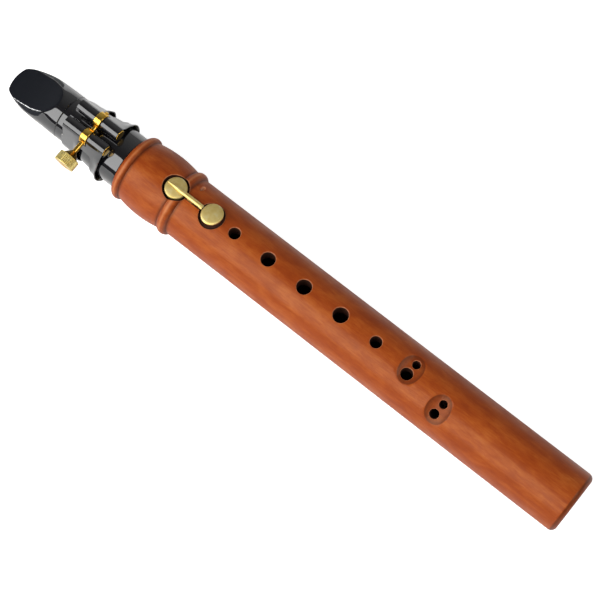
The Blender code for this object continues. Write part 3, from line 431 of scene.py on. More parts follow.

# %% [markdown]
# ## The wood
#
# Pear wood stained reddish brown, then oiled to a satin sheen. Up close the stain is uneven: long fibres
# run along the pipe, short pores hold more stain, and broad patches drift from brick red to orange. Noise
# that is stretched along Z gives the fibres, the pores and the faint lines of the year rings, and a rounder
# one gives the patches. The oil has soaked in unevenly too, so the sheen comes and goes. Inside the holes
# the wood is bare, darker end grain, painted nearly black with the shade in there too, and the edges of the
# holes are painted paler: partly rubbed by fingers, partly a painted highlight.

# %% Stained pear wood
wood = Finish("stained_pear", IOR=1.4, Specular_Tint=(1.0, 0.80, 0.50, 1.0), Coat_Weight=0.05,
              Coat_Roughness=0.12)
fibres = wood.noise(wood.in_mm((1, 1, 0.05)), 4.5, 6.0, 0.6, 0.25)
pores = wood.noise(wood.in_mm((1, 1, 0.12)), 9.0, 2.0, 0.5)
patches = wood.noise(wood.in_mm((1, 1, 0.45)), 0.20, 5.0, 0.62, 0.3)
year_rings = wood.noise(wood.in_mm((1, 1, 0.012)), 0.6, 3.0, 0.55, 0.3)
stain = wood.math("ADD", wood.math("MULTIPLY", fibres, 0.35), wood.math("MULTIPLY", patches, 0.45))
stain = wood.math("ADD", stain, wood.math("MULTIPLY", year_rings, 0.2))
stain_stops = [(0.34, (0.25, 0.034, 0.004)), (0.47, (0.325, 0.052, 0.006)), (0.55, (0.39, 0.076, 0.010)),
               (0.68, (0.47, 0.122, 0.021))]
pore_share = wood.spread(pores, 0.60, 0.72, 0.0, 0.35)
stained = wood.mix(pore_share, wood.ramp(stain, stain_stops), (0.16, 0.022, 0.005))
oil = wood.noise(wood.in_mm((1, 1, 0.6)), 0.11, 4.0, 0.6)
oiled = wood.spread(oil, 0.38, 0.62, 0.50, 0.33)
wood.set("Roughness", wood.math("ADD", oiled, wood.math("MULTIPLY", fibres, 0.04)))
wood.bump(wood.math("SUBTRACT", fibres, wood.math("MULTIPLY", pore_share, 0.8)), 0.04, 0.5)

# %% Bare wood painted dark with shade inside the cuts, and paler edges with a painted highlight
# Nearly black: darker end grain, with painted shade for the inside of holes, slots and sinkings.
end_grain_shade_stops = ((0.3, (0.020, 0.005, 0.002)), (0.7, (0.065, 0.018, 0.007)))
bare_wood_painted_shade = plain_finish("bare_wood_painted_shade", (1, 1, 0.3), (3.0, 4.0, 0.6), end_grain_shade_stops, bump=(0.04, 0.5),
                         Roughness=0.75, IOR=1.4)
# Paler than the stain: partly worn by fingers, partly a painted highlight on the rounded edges of the holes.
worn_highlight_stops = ((0.3, (0.42, 0.11, 0.035)), (0.7, (0.60, 0.23, 0.10)))
worn_wood_painted_highlight = plain_finish("worn_wood_painted_highlight", (1, 1, 0.3), (1.4, 4.0, 0.6), worn_highlight_stops, bump=(0.03, 0.4),
                           Roughness=0.36, IOR=1.4, Coat_Weight=0.1, Coat_Roughness=0.12)
print("wood, bare wood and rubbed wood")

# %% [markdown]
# ## The pipe's outside
#
# The turner leaves three swellings at the top: a round rim bead, a bulb, and a lower bead. Each is an arc
# or a shallow curve in the profile, so it can be changed by one number. The plain stretch below them gets a
# ring every few millimetres, because long thin faces would smear the shading round the holes.

# %% Sizes of the turned body
body_radius = 14.25
bore_radius = 6.5
rim_crest = body_radius + 1.65
groove_radius = body_radius + 0.5
rim_round = 2.25
bead_round = 3.0
bead_station = body_length - 28.2
foot_round = 2.7
socket_depth = 16.0
socket_radius = 10.95


def body_profile():
    """The outside from the rim down to the foot, then back up through the bore and the socket."""
    rim_centre = (rim_crest - rim_round, body_length - rim_round)
    rim_end = -degrees(acos((groove_radius - rim_centre[0]) / rim_round))
    rim = arc(rim_centre, rim_round, 90, rim_end, 18)
    bead_centre = (rim_crest - bead_round, bead_station)
    bead_top = degrees(acos((groove_radius - bead_centre[0]) / bead_round))
    bead_bottom = -degrees(acos((body_radius - bead_centre[0]) / bead_round))
    bead = arc(bead_centre, bead_round, bead_top, bead_bottom, 16)
    bulb = []
    bulb_steps = 20
    for step in range(1, bulb_steps):
        share = step / bulb_steps
        swell = 4 * share * (1 - share) * (rim_crest - groove_radius)
        bulb.append((groove_radius + swell, rim[-1][1] + (bead[0][1] - rim[-1][1]) * share))
    pipe = []
    pipe_steps = 76
    for step in range(1, pipe_steps):
        pipe.append((body_radius, bead[-1][1] + (foot_round - bead[-1][1]) * step / pipe_steps))
    grooves = (rim[-1][1], bead[0][1], bead[-1][1])
    foot_arc = arc((body_radius - foot_round, foot_round), foot_round, 0, -90, 8)
    outside = rim + bulb + bead + pipe + foot_arc
    inside = [(bore_radius + 0.3, 0), (bore_radius, 0.3), (bore_radius, body_length - socket_depth)]
    inside += [(socket_radius, body_length - socket_depth), (socket_radius, body_length - 0.3)]
    inside.append((socket_radius + 0.3, body_length))
    return outside, inside, grooves


outside, inside, grooves = body_profile()


def outer_radius(station):
    """The turned radius at a station, read off the profile."""
    for (r1, h1), (r2, h2) in zip(outside, outside[1:]):
        if h2 <= station <= h1 and h1 > h2:
            return r2 + (r1 - r2) * (station - h2) / (h1 - h2)
    return body_radius


print("body profile of %d points" % (len(outside) + len(inside)))

# %% [markdown]
# ## Painted shade in the grooves, painted highlights on the crests
#
# The grooves beside the beads and the scooped hollows are painted darker as the shade that falls in them, and
# the crests of the beads are painted paler as the highlight they catch. The bands on the beads are drawn by
# the height up the pipe, with some noise in it so that they don't end along a ruled line. A hollow is found
# by its distance from the axis.

# %% Paint shade into the grooves and hollows, and highlights onto the crests
up_pipe = wood.add("ShaderNodeSeparateXYZ", {"Vector": wood.in_mm()}).outputs["Z"]
up_pipe = wood.math("ADD", up_pipe, wood.math("MULTIPLY", patches, 0.4))


def band_at(heights, width):
    """One at these heights, and nothing further away than the width."""
    share = 0.0
    for height in heights:
        away = wood.math("ABSOLUTE", wood.math("SUBTRACT", up_pipe, height + 0.2))
        share = wood.math("MAXIMUM", share, wood.spread(away, width, 0.1 * width))
    return share


# Painted shade: darker bands in the grooves beside the beads.
painted_shade = wood.math("MULTIPLY", band_at(grooves, 1.3), 0.8)
# Painted highlight: paler bands on the crests of the rim bead and the lower bead.
crest_highlight = wood.math("MULTIPLY", band_at((body_length - rim_round, bead_station), 0.9), 0.55)
with_crest_highlight = wood.mix(crest_highlight, stained, (0.62, 0.22, 0.08))
# Painted shade in the scooped hollows: wood below the pipe's skin is darkened, most near the hollow's rim.
from_axis = wood.add("ShaderNodeVectorMath", {0: wood.in_mm((1, 1, 0))}, operation="LENGTH").outputs["Value"]
under_skin = wood.spread(from_axis, body_radius - 0.04, body_radius - 0.16)
to_rim = wood.spread(from_axis, body_radius - 1.3, body_radius - 0.4, 0.3, 0.75)
hollow_shade = wood.math("MULTIPLY", under_skin, to_rim)
painted_shade = wood.math("MAXIMUM", painted_shade, hollow_shade)
# Both painted shades darken the stain towards a deep brown.
wood.set("Base Color", wood.mix(painted_shade, with_crest_highlight, (0.11, 0.018, 0.004)))
print("grooves at", [round(height, 1) for height in grooves])

# %% [markdown]
# ## Holes with softened mouths
#
# A drilled hole on a round pipe has a saddle-shaped mouth, and its edge is broken with a touch of
# sandpaper. A plain cylinder as cutter would leave a sharp edge, and a Bevel modifier trips over the many
# small edges there. So the cutter itself flares out at its mouth: each of its rings asks how high the
# wood's surface is at that very point, and follows it.


# %% A drill that follows the surface
def drill_matrix(station, turn, from_back=False):
    """The drill's own frame: Z out of the wood, X across the pipe, Y up it."""
    out = Vector((sin(turn), -cos(turn), 0)) * (-1 if from_back else 1)
    across = Vector((0, 0, 1)).cross(out)
    rows = Matrix((across, Vector((0, 0, 1)), out)).transposed().to_4x4()
    return Matrix.Translation((0, 0, station * mm)) @ rows


def flared_drill(place, centre, radius, surface, bottom, edge=0.4, sides=56):
    """A closed cutter: a straight wall, a rounded flare at the surface, and a way out above it."""
    flare_steps = 5
    flare_end = radians(66)
    off_grid = 0.37
    rings = [(radius, lambda top: bottom), (radius, lambda top: top - edge)]
    for step in range(1, flare_steps + 1):
        angle = flare_end * step / flare_steps
        widen = radius + edge * (1 - cos(angle))
        rings.append((widen, lambda top, rise=edge * (1 - sin(angle)): top - rise))
    rings.append((rings[-1][0], lambda top: top + 4))
    work = bmesh.new()
    drawn = [[work.verts.new((centre[0] * mm, centre[1] * mm, bottom * mm))]]
    for reach, height in rings:
        ring = []
        for side in range(sides):
            angle = 2 * pi * (side + off_grid) / sides
            x = centre[0] + reach * cos(angle)
            y = centre[1] + reach * sin(angle)
            ring.append(work.verts.new((x * mm, y * mm, height(surface(x, y)) * mm)))
        drawn.append(ring)
    top = max(vert.co.z for vert in drawn[-1])
    drawn.append([work.verts.new((centre[0] * mm, centre[1] * mm, top))])
    # The straight wall takes the first finish (painted shade), the flare the second (wear and painted
    # highlight).
    slots = [0, 0] + [1] * (flare_steps + 2)
    skin(work, drawn, slots=slots)
    return upright_object("cutter", work, None, (bare_wood_painted_shade, worn_wood_painted_highlight), laid @ place)


def pipe_surface(station):
    """How high the turned wood stands at a point of the drill's frame."""
    return lambda x, y: sqrt(max(0.0, outer_radius(station + y) ** 2 - x * x))


print("drill ready")

# %% Drill the single holes and scoop the double ones
finger_holes = ((58.2, 5.3), (76.5, 6.4), (95.9, 6.7), (115.4, 6.9), (134.0, 5.3))
thumb_hole = (49.0, 6.0)
drill_end = 3.0
cutters = []
for below, diameter in (*finger_holes, thumb_hole):
    station = body_length - below
    place = drill_matrix(station, 0.0, from_back=(below, diameter) == thumb_hole)
    cutters.append(flared_drill(place, (0, 0), diameter / 2, pipe_surface(station), drill_end))

# Each double hole: below the top, turn in degrees, large and small diameter, wood between them
double_holes = ((152.4, 0.0, 5.4, 3.7, 1.0), (171.2, -27.3, 4.3, 3.7, 1.4))
double_skew = 0.8
scoop_depth = 1.8
scoop_radius = 8.7
for below, turn, large, small, bridge in double_holes:
    station = body_length - below
    place = drill_matrix(station, radians(turn))
    scoop_centre = body_radius - scoop_depth + scoop_radius
    drum = lathe([(0, 26), (scoop_radius, 26), (scoop_radius, -26), (0, -26)], 160)
    across_drum = Matrix.Translation((0, 0, scoop_centre * mm)) @ crosswise
    cutters.append(cutter(drum, wood, laid @ place @ across_drum))

    def scoop_surface(x, y):
        return scoop_centre - sqrt(scoop_radius ** 2 - y * y)

    pair = ((-(small + bridge) / 2, double_skew / 2, large), ((large + bridge) / 2, -double_skew / 2, small))
    for x, y, diameter in pair:
        cutters.append(flared_drill(place, (x, y), diameter / 2, scoop_surface, drill_end, edge=0.3))
print("%d cutters for the holes" % len(cutters))

# %% [markdown]
# ## Where the key sinks in
#
# The pad cup drops into a counterbore that bites through the lower bead, with a raised seat round the tone
# hole. A shallow channel holds the arm, a slot takes the lug, a round recess gives the fingertip room to
# press the touch, and a thin pin goes in from one side.

# %% Mill the key's sinkings
key_station = body_length - 25.8
pivot_station = body_length - 34.2
touch_station = body_length - 45.8
pivot_reach = body_radius - 2.25
pin_radius = 0.8
cup_radius, cup_height, cup_crown = 4.95, 2.0, 0.35
arm_width, arm_thickness = 2.1, 1.1
arm_underside = body_radius + 1.0
lug_length = 3.0
touch_radius = 4.95
seam = 0.15
cup_wall, pad_thickness = 0.55, 1.7
cup_top = arm_underside - seam
seat_reach = cup_top - cup_crown - cup_wall - seam - pad_thickness - seam
tone_hole_radius = 2.75
seat_top_width, seat_foot_width = 0.7, 1.1
sink_radius = cup_radius + 1.0
sink_floor = seat_reach - 0.9
key_front = drill_matrix(key_station, 0.0)
cutters.append(flared_drill(key_front, (0, 0), tone_hole_radius, lambda x, y: seat_reach, drill_end, 0.1))
sink = flared_drill(key_front, (0, 0), sink_radius, pipe_surface(key_station), seat_reach, edge=0.3, sides=72)
trench_radius, trench_top = sink_radius - 0.04, seat_reach + 0.3
trench_profile = [(trench_radius, trench_top), (trench_radius, sink_floor)]
trench_profile += [(tone_hole_radius + seat_foot_width, sink_floor)]
trench_profile += [(tone_hole_radius + seat_top_width, trench_top)]
# The ring round the seat takes the bare wood finish, painted dark with shade.
trench = cutter(lathe(trench_profile, 64, closed=True), bare_wood_painted_shade, laid @ key_front)
recess = flared_drill(drill_matrix(touch_station + seam, 0.0), (0, 0), touch_radius + 0.9,
                      pipe_surface(touch_station), body_radius - 2.05, edge=0.35, sides=72)
cutters += [sink, trench, recess]


def milled_slot(width, low, high, floor):
    """A straight-sided slot along the pipe's front."""
    work = bmesh.new()
    bmesh.ops.create_cube(work, size=1.0)
    above = body_radius + 8
    size = Vector((width, above - floor, high - low)) * mm
    bmesh.ops.scale(work, vec=size, verts=work.verts)
    centre = Vector((0, -(floor + above) / 2, (low + high) / 2)) * mm
    bmesh.ops.translate(work, vec=centre, verts=work.verts)
    # Its walls take the bare wood finish, painted dark with shade.
    return cutter(work, bare_wood_painted_shade)


cutters.append(milled_slot(arm_width + 0.6, touch_station + 1.13, key_station - 1.07, body_radius - 1.1))
half_lug = lug_length / 2
cutters.append(milled_slot(arm_width + 0.4, pivot_station - half_lug - 0.6, pivot_station + half_lug + 0.3,
                           pivot_reach - half_lug - 0.3))
blind_wood, running_gap = 1.2, 0.2
pin_bore_radius = pin_radius + running_gap
pin_start = blind_wood - sqrt(body_radius ** 2 - (pivot_reach + pin_bore_radius) ** 2)
pin_bore = lathe([(0, 30), (pin_bore_radius, 30), (pin_bore_radius, pin_start), (0, pin_start)], 36)
pin_place = Matrix.Translation((0, -pivot_reach * mm, pivot_station * mm)) @ crosswise
# The pin's bore takes the paler finish: wear and a painted highlight round the pin's end.
cutters.append(cutter(pin_bore, worn_wood_painted_highlight, laid @ pin_place))
print("sinkings milled %.2f mm deep under the cup" % (body_radius - sink_floor))

# %% Turn the body and cut it
body_sides = 144
profile = outside + inside
# The inside, bore and socket, takes the bare wood finish, painted dark with shade.
slots = [0] * len(outside) + [1] * (len(inside) - 1) + [0]
turned_body = lathe(profile, body_sides, closed=True, slots=slots)
wooden_body = upright_object("wooden_body", turned_body, None, (wood, bare_wood_painted_shade))
cut_away(wooden_body, cutters)
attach(wooden_body, "pipe")
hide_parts("body")
print("wooden body: %d faces" % len(wooden_body.data.polygons))

# %% [markdown]
# ## Lofting a piece
#
# The mouthpiece, the reed and the key's arm aren't round all the way, so they can't be turned. Each is
# drawn as a row of closed sections instead, and skinned from one to the next. A section of a single point
# closes an end. Where a piece has two finishes, a test on a face's middle picks the second one. The tip of
# the mouthpiece and the tip of the reed are rounded alike, so they share the radius of that round.

# %% A loft through closed sections
tip_round = 13.0


def loft(name, sections, body, finishes, frame_matrix, second_finish=None, smooth_angle=35.0):
    """Skins closed sections of (x, y, z) points in millimetres."""
    work = bmesh.new()
    skin(work, [[work.verts.new(Vector(point) * mm) for point in section] for section in sections])
    for face in work.faces:
        if second_finish and second_finish(face.calc_center_median() / mm):
            face.material_index = 1
    return upright_object(name, work, body, finishes, frame_matrix, smooth_angle)


def within(share):
    """A share kept between nothing and all."""
    return min(1.0, max(0.0, share))


def rounded_half(half, height, end):
    """Half a width, drawn in by the round that ends the mouthpiece and the reed."""
    from_centre = max(0.0, height - end + tip_round)
    tip = sqrt(max(0.0001, tip_round ** 2 - from_centre ** 2))
    return (half ** -12 + tip ** -12) ** (-1 / 12)


def tip_heights(end, angles):
    """Heights along that round, close together at the very tip."""
    return [end - tip_round * (1 - cos(radians(angle))) for angle in angles]


def side_cutter(outline, width, finish):
    """A closed cutter from a side view of (height, how far in front of the axis), centred on the axis."""
    work = bmesh.new()
    sides = []
    for across in (-width / 2, width / 2):
        sides.append([work.verts.new((across * mm, -front * mm, height * mm)) for height, front in outline])
    work.faces.new(sides[0])
    work.faces.new(sides[1])
    skin(work, sides)
    return cutter(work, finish, mouthpiece_laid)


print("loft ready")

# %% [markdown]
# ## Black resin
#
# The mouthpiece is moulded and machined from black resin and polished, so it mirrors the softbox in clean
# stripes. Handling leaves a haze of very fine scratches, which here varies the roughness a little, and
# almost nothing else. The sloping beak and its cheeks are finely ground and stay matt, with a finish of their
# own: their faces are picked by the direction in which they look. The round between them stays polished.

# %% Polished, ground and rough resin
beak_start, mouthpiece_length = 40.3, 71.0
beak_length = mouthpiece_length - beak_start
table_depth, barrel_radius, shank_radius = 8.6, 10.8, 13.2
beak_drop = barrel_radius + table_depth - 1.9
beak_slope = atan2(beak_drop, beak_length)

resin = Finish("black_resin", IOR=1.6, Coat_Weight=0.8, Coat_IOR=1.6, Coat_Roughness=0.03)
haze = resin.noise(resin.in_mm((1, 1, 0.2)), 1.2, 5.0, 0.65, 0.4)
scratches = resin.noise(resin.in_mm((0.12, 0.12, 4.0)), 2.0, 3.0, 0.7, 1.5)
resin.sheen(haze, 0.04, 0.08, 0.35)
resin.paint(haze, (0.3, (0.004, 0.004, 0.005)), (0.7, (0.007, 0.007, 0.009)))
resin.bump(scratches, 0.004, 0.5)
ground_stops = ((0.3, (0.004, 0.005, 0.008)), (0.7, (0.007, 0.008, 0.011)))
ground_resin = plain_finish("ground_resin", (0.4, 1, 3.0), (1.5, 4.0, 0.65, 0.5), ground_stops, (0.34, 0.46),
                            (0.006, 0.5), IOR=1.22, Specular_Tint=(0.75, 0.82, 1.0, 1.0))
moulded_stops = ((0.3, (0.008, 0.008, 0.008)), (0.7, (0.018, 0.018, 0.018)))
inside_resin = plain_finish("matt_resin", (1, 1, 1), (3.0, 4.0, 0.6), moulded_stops, (0.5, 0.7), IOR=1.5)
print("beak slopes by %.1f degrees" % degrees(beak_slope))

# %% [markdown]
# ## The mouthpiece
#
# A maker turns a blank, cuts the flat table for the reed, the sloping beak for the upper lip, and two side
# walls that draw in towards the tip. So every section is a circle that a few straight cuts have trimmed.
# Seen from a point inside, each cut says how far out the resin may reach in a direction, and the surface is
# at the nearest of them. A soft minimum instead of a hard one gives each edge its small round, and that is
# what catches the thin bright line along the beak.

# %% Cuts that trim the blank
table_start, facing_length, tip_opening = 2.9, 18.5, 1.1
taper_start, taper_end = 8.0, 32.0
narrowing_start, narrowing_end = 43.2, 67.9
wall_half, wall_draw, wall_curve = 11.2, 4.2, 2.5
beak_hollow = 0.7
guide_ring, ring_depth, ring_half = 35.9, 0.3, 0.34
edge_sharpness = 34.0
cheek_half, cheek_draw, cheek_end, cheek_run, cheek_curve = 8.4, 1.1, 53.0, 7, 1.5
cheek_lean = radians(50)
cheek_across, cheek_front = sin(cheek_lean), cos(cheek_lean)
no_cut = 99.0
section_points = 200


def blank_radius(height):
    """Shank, smooth taper and barrel, with a fine ring cut in front of the ligature."""
    share = within((height - taper_start) / (taper_end - taper_start))
    ring = ring_depth * max(0.0, 1 - abs(height - guide_ring) / ring_half)
    return shank_radius + (barrel_radius - shank_radius) * share * share * (3 - 2 * share) - ring


def beak_face(height):
    """The slope for the upper lip, a little hollow."""
    share = (height - beak_start) / beak_length
    if share < -0.05:
        return no_cut
    return barrel_radius - beak_drop * share - 4 * beak_hollow * share * (1 - share)


def table_face(height):
    """The flat for the reed, which ramps in behind the shank and bends away along the facing."""
    ramp = within((height - table_start) / 0.3)
    rise = max(0.0, (height - mouthpiece_length + facing_length) / facing_length)
    return -shank_radius + (shank_radius - table_depth) * ramp + tip_opening * rise * rise


def half_plan(height):
    """Half the width between the side walls, down to the rounded tip."""
    share = (height - narrowing_start) / (narrowing_end - narrowing_start)
    walls = wall_half - wall_draw * share ** wall_curve if share > 0 else wall_half - 12 * share
    return rounded_half(walls, height, mouthpiece_length)


def trimmed_section(height):
    """One section of the mouthpiece, all the way round."""
    radius, half = blank_radius(height), half_plan(height)
    face, table = beak_face(height), table_face(height)
    top, bottom = min(radius, face), max(-radius, table)
    middle, tall, wide = (top + bottom) / 2, (top - bottom) / 2, min(radius, half)
    cheek = cheek_half - cheek_draw * (max(0.0, cheek_end - height) / cheek_run) ** cheek_curve
    section = []
    for step in range(section_points):
        turn = 2 * pi * step / section_points
        across, front = wide * sin(turn), tall * cos(turn)
        across, front = across / hypot(across, front), front / hypot(across, front)
        limits = [sqrt(radius ** 2 - (middle * across) ** 2) - middle * front]
        if front > 0.001:
            limits.append((face - middle) / front)
        if front < -0.001:
            limits.append((middle - table) / -front)
        if abs(across) > 0.001:
            limits.append(half / abs(across))
        lean = cheek_across * abs(across) + cheek_front * front
        if lean > 0.001 and face < no_cut:
            limits.append((cheek_across * cheek + cheek_front * (face - middle)) / lean)
        nearest = min(limits)
        shares = sum((limit / nearest) ** -edge_sharpness for limit in limits)
        reach = nearest * shares ** (-1 / edge_sharpness)
        section.append((reach * across, -middle - reach * front, height))
    return section


heights = tip_heights(mouthpiece_length, (1, 4, 8, 12, 16, 20, 24, 27, 30))
heights += [69.0 - 0.35 * step for step in range(4)]
heights += [67.6 + (39.4 - 67.6) * step / 70 for step in range(71)]
ring_offsets = (0.45, 0.34, 0.17, 0, -0.17, -0.34, -0.45)
heights += [38.0, 36.6] + [guide_ring + offset for offset in ring_offsets] + [34.0]
heights += [taper_end + (taper_start - taper_end) * step / 16 for step in range(17)]
heights += [5.5, 3.4, 3.2, 3.1, 3.0, 2.9, 2.6, 1.5]
sections = [[(0, table_depth - tip_opening - 0.4, mouthpiece_length)]] + [trimmed_section(h) for h in heights]
tenon_radius, tenon_end, cork_seat, cork_top, cork_bottom = 10.7, -15.6, 9.9, -2.0, -13.6
tenon = arc((shank_radius - 0.5, 0.5), 0.5, 0, -90, 5)
tenon += [(tenon_radius, 0), (tenon_radius, cork_top), (cork_seat, cork_top), (cork_seat, cork_bottom)]
tenon += [(tenon_radius, cork_bottom), (tenon_radius, tenon_end + 0.5), (tenon_radius - 0.5, tenon_end)]
turns = [2 * pi * step / section_points for step in range(section_points)]
for radius, height in tenon:
    sections.append([(radius * sin(turn), -radius * cos(turn), height) for turn in turns])
sections.append([(0, 0, tenon_end)])
black_mouthpiece = loft("black_mouthpiece", sections, "mouth_part", (resin, inside_resin, ground_resin),
                        mouthpiece_laid, smooth_angle=40.0)
beak_way = Vector((0.0, -cos(beak_slope), sin(beak_slope)))
cheek_way = Vector((cheek_across, -cheek_front, cheek_front * tan(beak_slope))).normalized()
near_beak, near_cheek = 0.975, 0.985
for face in black_mouthpiece.data.polygons:
    looks = Vector((abs(face.normal.x), face.normal.y, face.normal.z))
    if looks.dot(beak_way) > near_beak or looks.dot(cheek_way) > near_cheek:
        face.material_index = 2
print("mouthpiece: %d sections" % len(sections))

# %% [markdown]
# ## The bore and the window
#
# Air passes from the window, which the reed opens and closes, down a sloping baffle into the chamber and the
# bore. All of that is cut from the solid at the end, as the maker does it.

# %% Cut the bore and the window
bore_cut_radius, chamber_start, tip_rail = 7.3, 25.0, 69.3
window_end = tip_rail - 30.5
bore_end = chamber_start + 2
bore_cutter = lathe([(0, bore_end), (bore_cut_radius, bore_end), (bore_cut_radius, -20), (0, -20)], 72)
bore_cutter = cutter(bore_cutter, inside_resin, mouthpiece_laid)
roof, floor = bore_cut_radius * 0.85, -bore_cut_radius * 0.9
baffle_tip = -table_depth + tip_opening + 0.2
baffle_hollow, baffle_steps = 0.45, 12
window_outline = [(tip_rail, -30), (tip_rail, baffle_tip)]
for step in range(1, baffle_steps + 1):
    share = step / baffle_steps
    hollow = 4 * baffle_hollow * share * (1 - share)
    window_outline.append((tip_rail + (window_end + 2.5 - tip_rail) * share,
                           baffle_tip + (roof - baffle_tip) * share - hollow))
window_outline += [(chamber_start, roof), (chamber_start, floor), (window_end - 4.5, floor)]
window_outline += [(window_end, -table_depth), (window_end, -30)]
cut_away(black_mouthpiece, [bore_cutter, side_cutter(window_outline, 10.5, inside_resin)], 40.0)
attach(black_mouthpiece, "mouth_part")
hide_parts("mouthpiece")
print("black mouthpiece: %d faces" % len(black_mouthpiece.data.polygons))

# %% [markdown]
# ## The ligature's sheet
#
# One piece of sheet brass, lacquered black, is rolled into a tube at each end and drawn round the mouthpiece
# and the reed. Its rear edge and the lips of its two waists flare outwards, so that nothing scratches the
# resin. A real one is cut flat and rolled over rods. Here the middle line of the sheet is drawn at many
# heights and skinned, and Solidify gives the sheet its thickness, which keeps the rolled seam open.

# %% Black lacquer
lacquer = Finish("black_lacquer", IOR=1.6, Coat_Weight=0.8, Coat_IOR=1.6, Coat_Roughness=0.04)
ripple = lacquer.noise(lacquer.in_mm(), 0.5, 2.0, 0.5)
dust = lacquer.noise(lacquer.in_mm(), 6.0, 4.0, 0.6)
lacquer.paint(ripple, (0.35, (0.004, 0.004, 0.005)), (0.65, (0.007, 0.007, 0.008)))
lacquer.sheen(dust, 0.05, 0.11, 0.3, 0.75)
lacquer.bump(ripple, 0.02, 0.25)
# The cut mouths of the tubes get a light grey finish: a painted highlight of their edges.
edge_highlight_stops = ((0.35, (0.30, 0.29, 0.28)), (0.65, (0.62, 0.60, 0.56)))
painted_edge_highlight = plain_finish("painted_edge_highlight", (1, 1, 1), (2.5, 4.0, 0.6), edge_highlight_stops, (0.35, 0.5), Metallic=0.6)
print("black lacquer over brass")

# %% The sheet's middle line at one height
sheet = 0.45
seat_gap = 0.3
tube_radius, tube_side = 3.2, 4.5
tube_height = sqrt((shank_radius + seam + tube_radius) ** 2 - tube_side ** 2)
tube_rear, tube_front = 7.5, 29.8
band_rear, band_front = 9.0, 31.0
lip_flare, lip_length = 1.25, 3.4
lobe_edge = 20.7
roll_steps, web_steps, round_steps, pull_steps, bark_steps = 30, 6, 24, 4, 8
reed_heel, reed_length = 3.4, 67.2
reed_flat, reed_thickness, reed_edge = table_depth + seat_gap, 2.9, 2.0
heel_half, tip_half = 5.8, 6.5
bark_radius = (heel_half ** 2 + (reed_thickness - reed_edge) ** 2) / (2 * (reed_thickness - reed_edge))
bark_centre = reed_flat + reed_thickness - bark_radius


def reed_half(height):
    """Half the reed's width, which grows towards its tip."""
    return heel_half + (tip_half - heel_half) * (height - reed_heel) / reed_length


def lip(height, edge):
    """How far a lip has flared at this height, from nothing to all of it at its edge."""
    return lip_flare * max(0.0, 1 - (height - edge) / lip_length) ** 2


def sheet_line(height, lobe):
    """Half of the sheet's middle line: inside the tube, round it, down the web and round to the back."""
    tight = blank_radius(height) if height < guide_ring - 1 else barrel_radius
    reach = tight + seat_gap + sheet / 2
    roll = tube_radius - sheet / 2
    flare = lip(height, band_rear)
    flank_flare = lip(height, lobe_edge) if lobe else 0.0
    tube_level = height - (band_rear - tube_rear) * max(0.0, 1 - (height - band_rear) / lip_length)
    leave = atan2(tube_side, tube_height) + acos((reach - roll) / hypot(tube_side, tube_height))
    left_open = acos(1 - (sheet + 2 * seat_gap) / roll)
    half = []
    for step in range(roll_steps):
        angle = leave - (2 * pi - left_open) * (1 - step / roll_steps)
        half.append((tube_side + roll * sin(angle), tube_height + roll * cos(angle), tube_level))
    start = (tube_side + roll * sin(leave), tube_height + roll * cos(leave))
    for step in range(web_steps):
        share = step / web_steps
        lift = max(flare, flank_flare) * min(1.0, 2 * share) ** 2
        across = start[0] + (reach * sin(leave) - start[0]) * share + lift * sin(leave)
        front = start[1] + (reach * cos(leave) - start[1]) * share + lift * cos(leave)
        half.append((across, front, tube_level + (height - tube_level) * share))
    for out, angle in hoop(height, tight, pi - leave, flare, flank_flare):
        half.append((out * sin(angle), -out * cos(angle), height))
    return half


def hoop(height, tight, leave, flare, flank_flare):
    """From the web to the middle of the back: the round, a straight pull to the reed's corner, the bark."""
    half = reed_half(height)
    depth = bark_centre + sqrt(bark_radius ** 2 - half ** 2)
    corner, corner_angle = hypot(half, depth), atan2(half, depth)
    touch = max(acos(table_depth / tight), corner_angle + acos(min(1.0, tight / corner)))
    angles = [leave + (touch - leave) * step / round_steps for step in range(round_steps)]
    angles += [touch + (corner_angle - touch) * step / pull_steps for step in range(pull_steps)]
    angles += [corner_angle * (1 - step / bark_steps) for step in range(bark_steps + 1)]
    for angle in angles:
        if angle <= corner_angle:
            out = bark_centre * cos(angle) + sqrt(bark_radius ** 2 - (bark_centre * sin(angle)) ** 2)
        elif angle < touch:
            straight = sin(touch - angle) / corner + sin(angle - corner_angle) / tight
            out = sin(touch - corner_angle) / straight
        else:
            out = tight
        to_back = within((angle - radians(20)) / radians(30))
        to_flank = max(0.0, 1 - (leave - angle) / radians(30))
        yield out + seat_gap + sheet / 2 + max(flare * to_back, flank_flare * to_flank), angle


print("tubes %.2f mm in front of the axis" % tube_height)

# %% Roll the sheet
lip_shares = (0, 0.1, 0.22, 0.36, 0.52, 0.7, 0.85, 1)
lobe_length = band_front - lobe_edge - lip_length
rear_rows = [(band_rear + lip_length * share, False) for share in lip_shares]
rear_rows += [(band_rear + lip_length + 7.4 * share, False) for share in (0.33, 0.66, 1)]
front_rows = [(lobe_edge + lip_length * share, True) for share in lip_shares]
front_rows += [(lobe_edge + lip_length + lobe_length * share, True) for share in (0.5, 1)]
work = bmesh.new()
rows = []
for height, lobe in rear_rows + front_rows:
    half = sheet_line(height, lobe)
    line = half + [(-x, y, z) for x, y, z in reversed(half[:-1])]
    rows.append([work.verts.new(at_shoulder @ Vector((x * mm, -y * mm, z * mm))) for x, y, z in line])
for low, high in zip(rows, rows[1:]):
    for i in range(len(low) - 1):
        work.faces.new((low[i], high[i], high[i + 1], low[i + 1]))
rolled_sheet = upright_object("rolled_sheet", work, None, (lacquer,))
thick = rolled_sheet.modifiers.new("thickness", "SOLIDIFY")
thick.thickness = sheet * mm
thick.offset = 0
screw_station = 18.4
post_radius, collar_radius, collar_length = 2.5, 3.75, 3.4
cutters = []
